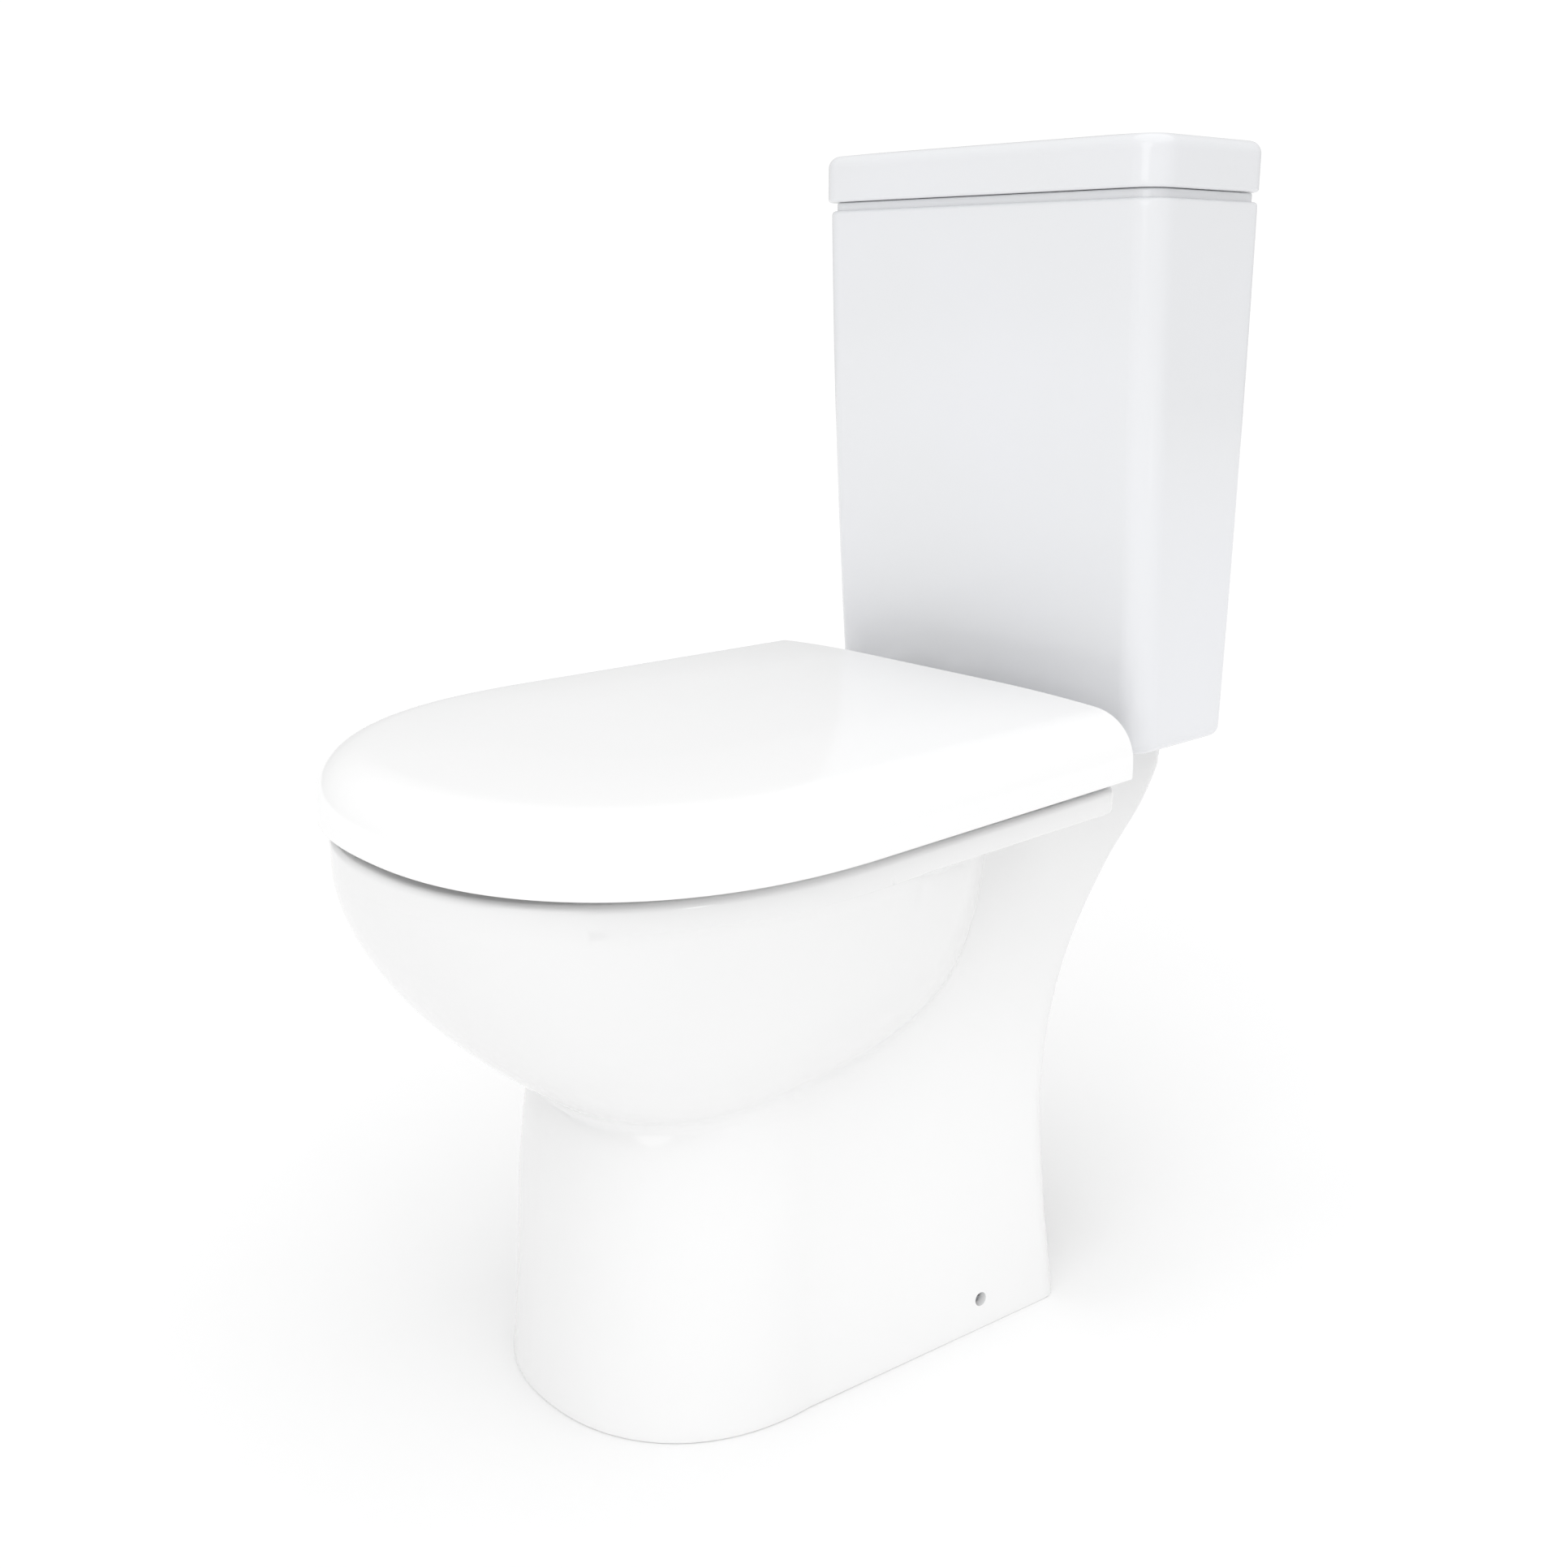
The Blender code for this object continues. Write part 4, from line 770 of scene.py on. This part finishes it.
def make_tower():
    """The flush valve: a threaded outlet, a flange, four posts up to a crown, and a bridge for the rods."""
    low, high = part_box("flush_valve_tower")
    x, y, _ = middle_of("flush_valve_tower")
    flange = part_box("valve_base_washer")[1].z + FIT_GAP
    profile = thread(0.0285, low.z, flange - 0.004, 0.0022, 0.0006)
    profile += [(0.0285, flange), (0.0346, flange), (0.0350, flange + 0.0004), (0.0350, flange + 0.0044),
                (0.0344, flange + 0.0050), (0.0286, flange + 0.0050), (0.0243, flange + 0.0088),
                (0.0238, flange + 0.0090), (0.0227, flange + 0.0090), (0.0225, flange + 0.0088),
                (0.0225, low.z)]
    tower = turned("flush_valve_tower_fine", profile, (x, y, 0), columns=128, ends=False)
    crown = turned("crown", collar_profile(0.030, 0.0185, high.z - 0.030, high.z, 0.0008), (x, y, 0),
                   columns=96, ends=False)

    def bar(cx, cy, half_x, half_y, bottom, top):
        plan = block(half_x, cy + half_y, cy - half_y, 0.0008, 0.0008)
        return skin("bar", [np.column_stack([cx + plan[:, 0], plan[:, 1], np.full(len(plan), z)])
                            for z in (bottom, top)])

    depth = WALL_Y - y
    posts = [bar(sx * 0.0272, depth + sy * 0.008, 0.0022, 0.0035, flange + 0.003, high.z - 0.020)
             for sx in (-1, 1) for sy in (-1, 1)]
    bridge = bar(0, depth, 0.029, 0.0115, high.z - 0.0095, high.z - 0.0015)
    guides = [turned("guide", [(0.0042, 0.66), (0.0042, 0.74)], (sx * 0.009, y, 0), columns=40)
              for sx in (-1, 1)]
    return fuse(tower, [crown, *posts, bridge], guides)


def make_overflow():
    """The lifting overflow tube, with a flange over the seal and a belled mouth."""
    low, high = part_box("overflow_tube")
    x, y, _ = middle_of("overflow_tube")
    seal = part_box("flush_seal")[1].z + FIT_GAP
    profile = [(0.0132, low.z), (0.0135, low.z + 0.0003), (0.0135, seal), (0.0211, seal),
               (0.0215, seal + 0.0004), (0.0215, seal + 0.0033), (0.0211, seal + 0.0037),
               (0.0145, seal + 0.0037), (0.0135, seal + 0.0047), (0.0135, high.z - 0.0004),
               (0.0131, high.z), (0.0119, high.z), (0.0115, high.z - 0.0004), (0.0115, low.z)]
    return turned("overflow_tube_fine", profile, (x, y, 0), columns=96, ends=False)


def make_float_cup():
    """An upturned cup about the fill valve's stem, with a lug for its rod."""
    low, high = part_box("float_cup")
    x, y = (low.x + high.x) / 2, from_wall(0.054)       # the stem's middle
    top = high.z
    profile = [(0.0183, low.z), (0.0202, low.z), (0.0205, low.z + 0.0003)]
    profile += [(0.0205 - 0.0015 * a, top - 0.0015 * b) for a, b in quarter(6)]
    profile += [(0.0088, top), (0.0085, top - 0.0003), (0.0085, low.z), (0.0105, low.z),
                (0.0105, top - 0.004), (0.0180, top - 0.004)]
    cup = turned("float_cup_fine", profile, (x, y, 0), columns=96, ends=False)
    front, rear = WALL_Y - low.y, WALL_Y - y + 0.015
    plan = block(0.004, front, rear, 0.0022, 0.0008)
    lug_block = skin("lug", [np.column_stack([x + plan[:, 0], plan[:, 1], np.full(len(plan), z)])
                             for z in (top - 0.006, top - 0.0002)])
    return fuse(cup, [lug_block])


# ---------------------------------------------------------------- finishes

def linear(colour):
    """Linear RGBA from an sRGB hex string."""
    parts = [int(colour[i:i + 2], 16) / 255 for i in (1, 3, 5)]
    return [p / 12.92 if p <= 0.04045 else ((p + 0.055) / 1.055) ** 2.4 for p in parts] + [1.0]


def add(tree, kind, links=None, **settings):
    """A node with its settings; links gives, by input, a value or the output that feeds it."""
    made = tree.nodes.new(kind)
    for key, value in settings.items():
        setattr(made, key, value)
    for key, value in (links or {}).items():
        if isinstance(value, bpy.types.NodeSocket):
            tree.links.new(value, made.inputs[key])
        else:
            made.inputs[key].default_value = value
    return made


def finish(name, colours, roughness, tone_mm, wave_mm, wave_depth, grain_mm, grain_depth, metallic=0.0,
           ior=1.5, stretch=(1, 1, 1), **sockets):
    """A surface whose colour and gloss drift over tone_mm, with shallow waves and a fine grain.

    Depths are in millimetres; the two colours and the two roughnesses are the drift's ends.
    """
    material = bpy.data.materials.new(name)
    material.use_nodes = True
    tree = material.node_tree
    tree.nodes.clear()
    place = add(tree, "ShaderNodeTexCoord").outputs["Object"]
    place = add(tree, "ShaderNodeMapping", {"Vector": place, "Scale": stretch}).outputs[0]
    tone = add(tree, "ShaderNodeTexNoise", {"Vector": place, "Scale": 1000 / tone_mm, "Detail": 3.0})
    ramp = add(tree, "ShaderNodeValToRGB", {"Fac": tone.outputs[0]})
    for stop, position, shade in zip(ramp.color_ramp.elements, (0.35, 0.65), colours):
        stop.position, stop.color = position, linear(shade)
    gloss = add(tree, "ShaderNodeMapRange", {"Value": tone.outputs[0], "From Min": 0.3, "From Max": 0.7,
                                             "To Min": roughness[0], "To Max": roughness[1]})
    wave = add(tree, "ShaderNodeTexNoise", {"Vector": place, "Scale": 1000 / wave_mm, "Detail": 1.0})
    grain = add(tree, "ShaderNodeTexNoise", {"Vector": place, "Scale": 1000 / grain_mm, "Detail": 2.0})
    slow = add(tree, "ShaderNodeBump", {"Height": wave.outputs[0], "Distance": wave_depth / 1000,
                                        "Strength": 1.0})
    fine = add(tree, "ShaderNodeBump", {"Height": grain.outputs[0], "Distance": grain_depth / 1000,
                                        "Strength": 1.0, "Normal": slow.outputs[0]})
    shader = add(tree, "ShaderNodeBsdfPrincipled",
                 {"Base Color": ramp.outputs[0], "Roughness": gloss.outputs[0], "Metallic": metallic,
                  "IOR": ior, "Normal": fine.outputs[0], **sockets})
    add(tree, "ShaderNodeOutputMaterial", {"Surface": shader.outputs[0]})
    return material


# Vitreous china, slip cast, glazed and fired: a thick clear gloss over pure white, whose slow waves
# bend the reflections a little.
PAN_GLAZE = finish("vitreous_china_white_glaze", ("#EDEDED", "#ECECEC"), (0.06, 0.10),
                   160, 90, 0.10, 3.0, 0.002, ior=1.52)
# The same china with painted shade: its colour is made cooler and a shade greyer to stand for the dimmer
# light on the cistern, and it is a little less smooth.
SHADED_CISTERN_GLAZE = finish("vitreous_china_cool_white_glaze", ("#E9EAED", "#E8E9EB"), (0.10, 0.15),
                       160, 80, 0.10, 2.5, 0.003, ior=1.52)
# Thermoset urea resin, compression moulded in a polished mould: even, bright and very smooth.
SEAT_GLOSS = finish("urea_seat_gloss_white", ("#F9F9F9", "#F8F8F8"), (0.10, 0.13),
                    160, 110, 0.05, 1.5, 0.001, ior=1.55)
# Chrome plated ABS, polished: a dark mirror with the faint haze of a plated moulding.
CHROME = finish("chrome_plated_abs", ("#DCDDDF", "#D3D5D8"), (0.05, 0.09),
                12, 20, 0.01, 1.2, 0.0008, metallic=1.0)
# Zinc plated steel, cold drawn: fine lines along the bar and a soft grey shine.
STEEL = finish("zinc_plated_drawn_steel", ("#B9BBBE", "#9FA2A6"), (0.24, 0.38),
               6, 8, 0.01, 0.6, 0.004, metallic=1.0, stretch=(1, 1, 0.15))
# Polypropylene, injection moulded with a fine spark-eroded texture: pale, waxy and dull.
PALE_PLASTIC = finish("polypropylene_pale_grey", ("#D5D9DD", "#CBD0D5"), (0.38, 0.48),
                      18, 12, 0.02, 0.7, 0.008)
# The same plastic dyed blue.
BLUE_PLASTIC = finish("polypropylene_blue", ("#2C5FA3", "#245292"), (0.36, 0.46), 18, 12, 0.02, 0.7, 0.008)
# EPDM rubber, moulded: nearly black, with a dry bloom and a fine grain.
RUBBER = finish("epdm_rubber_black", ("#1D1D1E", "#262627"), (0.68, 0.82), 9, 6, 0.03, 0.5, 0.012)
# Soft PVC bumpers, moulded: milky white and matte.
BUMPER = finish("soft_pvc_bumper", ("#DEDEDA", "#D6D6D1"), (0.50, 0.60), 8, 6, 0.02, 0.6, 0.006)

# The cistern's slot gets the pan's china with painted shade in its colour.
FINISH_OF_SLOT = {"pan_china": PAN_GLAZE, "cistern_china": SHADED_CISTERN_GLAZE, "seat_gloss": SEAT_GLOSS,
                  "chrome_plate": CHROME, "steel": STEEL, "valve_plastic": PALE_PLASTIC,
                  "accent_plastic": BLUE_PLASTIC, "rubber": RUBBER, "buffer_plastic": BUMPER}


RECORD = frame["record"]
SLOT_OF = {part["node"]: part["material_slot"] for part in RECORD["subparts"]}
BODY_OF = {node: body for body, nodes in RECORD["behaviour"]["bodies"].items() for node in nodes}


def dress(piece, node):
    """Give a new piece the finish, body and slot of the CAD node that it stands for."""
    piece.data.materials.clear()
    piece.data.materials.append(FINISH_OF_SLOT[SLOT_OF[node]])
    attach(piece, BODY_OF[node])
    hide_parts(node)


for node, piece in (("pan", make_pan()), ("cistern_tank", make_tank()), ("cistern_lid", make_cistern_lid()),
                    ("button_bezel", make_bezel()), ("full_flush_button", make_button(1, "full")),
                    ("half_flush_button", make_button(-1, "half")), ("seat_ring", make_seat_ring()),
                    ("seat_lid", make_seat_lid()), ("flush_valve_tower", make_tower()),
                    ("overflow_tube", make_overflow()), ("float_cup", make_float_cup())):
    dress(piece, node)

for node, bore, edge in COLLARS:
    dress(fitted(node, bore, edge), node)
for node, edge, axis in BARS:
    dress(fitted(node, 0, edge, axis), node)
for side in SIDES:
    for node, make in (("bolt_cone_washer_", make_cone_washer), ("coupling_bolt_", make_coupling_bolt),
                       ("side_screw_", make_side_screw), ("hinge_post_", make_hinge_post)):
        dress(make(node + side), node + side)
    for node, bore in (("hinge_wing_nut_", 0.0033), ("coupling_wing_nut_", 0.0043)):
        dress(make_wing_nut(node + side, bore), node + side)

for node, slot in SLOT_OF.items():
    frame["nodes"][node].data.materials.clear()
    frame["nodes"][node].data.materials.append(FINISH_OF_SLOT[slot])


# ---------------------------------------------------------------- the studio

def studio():
    """A white paper floor, an even white sky, two broad soft boxes and a low spot from the side."""
    turn = np.linspace(0, 2 * PI, 96, endpoint=False)
    disc = [np.column_stack([r * np.cos(turn), r * np.sin(turn), np.full(96, z)])
            for r, z in ((7.9, -0.02), (8, -0.01), (8, -0.001), (7.999, 0.0), (4, 0.0), (1, 0.0))]
    floor = skin("paper_floor", disc)
    # Matte white paper: even, with no gloss.
    floor.data.materials.append(finish("white_paper_floor", ("#FDFDFD", "#FCFCFC"), (0.9, 0.95),
                                       400, 90, 0.05, 2, 0.01))

    world = bpy.data.worlds.new("white_studio")
    bpy.context.scene.world = world
    world.use_nodes = True
    tree = world.node_tree
    seen = add(tree, "ShaderNodeLightPath").outputs["Is Camera Ray"]
    strength = add(tree, "ShaderNodeMapRange", {"Value": seen, "To Min": 0.66, "To Max": 1.03})
    tree.links.new(strength.outputs[0], tree.nodes["Background"].inputs["Strength"])
    tree.nodes["Background"].inputs["Color"].default_value = linear("#FFFFFF")

    lamp("front_box", "SUN", (1.15, -2.6, 1.0), (0, 0, 0), 0.52, angle=math.radians(40))
    lamp("top_box", "SUN", (0.6, -0.1, 3.0), (0, 0, 0), 1.16, angle=math.radians(90))
    lamp("low_side_box", "SPOT", (2.1, -0.35, 0.10), (0.1, 0, 0.06), 34,
         spot_size=math.radians(22), spot_blend=1.0, shadow_soft_size=0.3)


def lamp(name, kind, place, aim, power, **settings):
    """A soft light at a place, turned to face a point."""
    light = bpy.data.lights.new(name, kind)
    light.energy = power
    for key, value in settings.items():
        setattr(light, key, value)
    held = bpy.data.objects.new(name, light)
    held.location = place
    held.rotation_euler = (held.location - Vector(aim)).to_track_quat("Z", "Y").to_euler()
    bpy.context.scene.collection.objects.link(held)


def camera():
    """The camera, in the frame's own metres, and plain colours."""
    lens = bpy.data.cameras.new("camera")
    lens.sensor_width, lens.lens, lens.clip_start = 36, 39.86, 0.01
    eye = bpy.data.objects.new("camera", lens)
    eye.location = (0.8377, -0.7416, 0.7068)
    eye.rotation_euler = (math.radians(74.05), 0, math.radians(48.05))
    bpy.context.scene.collection.objects.link(eye)
    bpy.context.scene.camera = eye
    bpy.context.scene.view_settings.view_transform = "Standard"


studio()
camera()
bpy.context.view_layer.update()
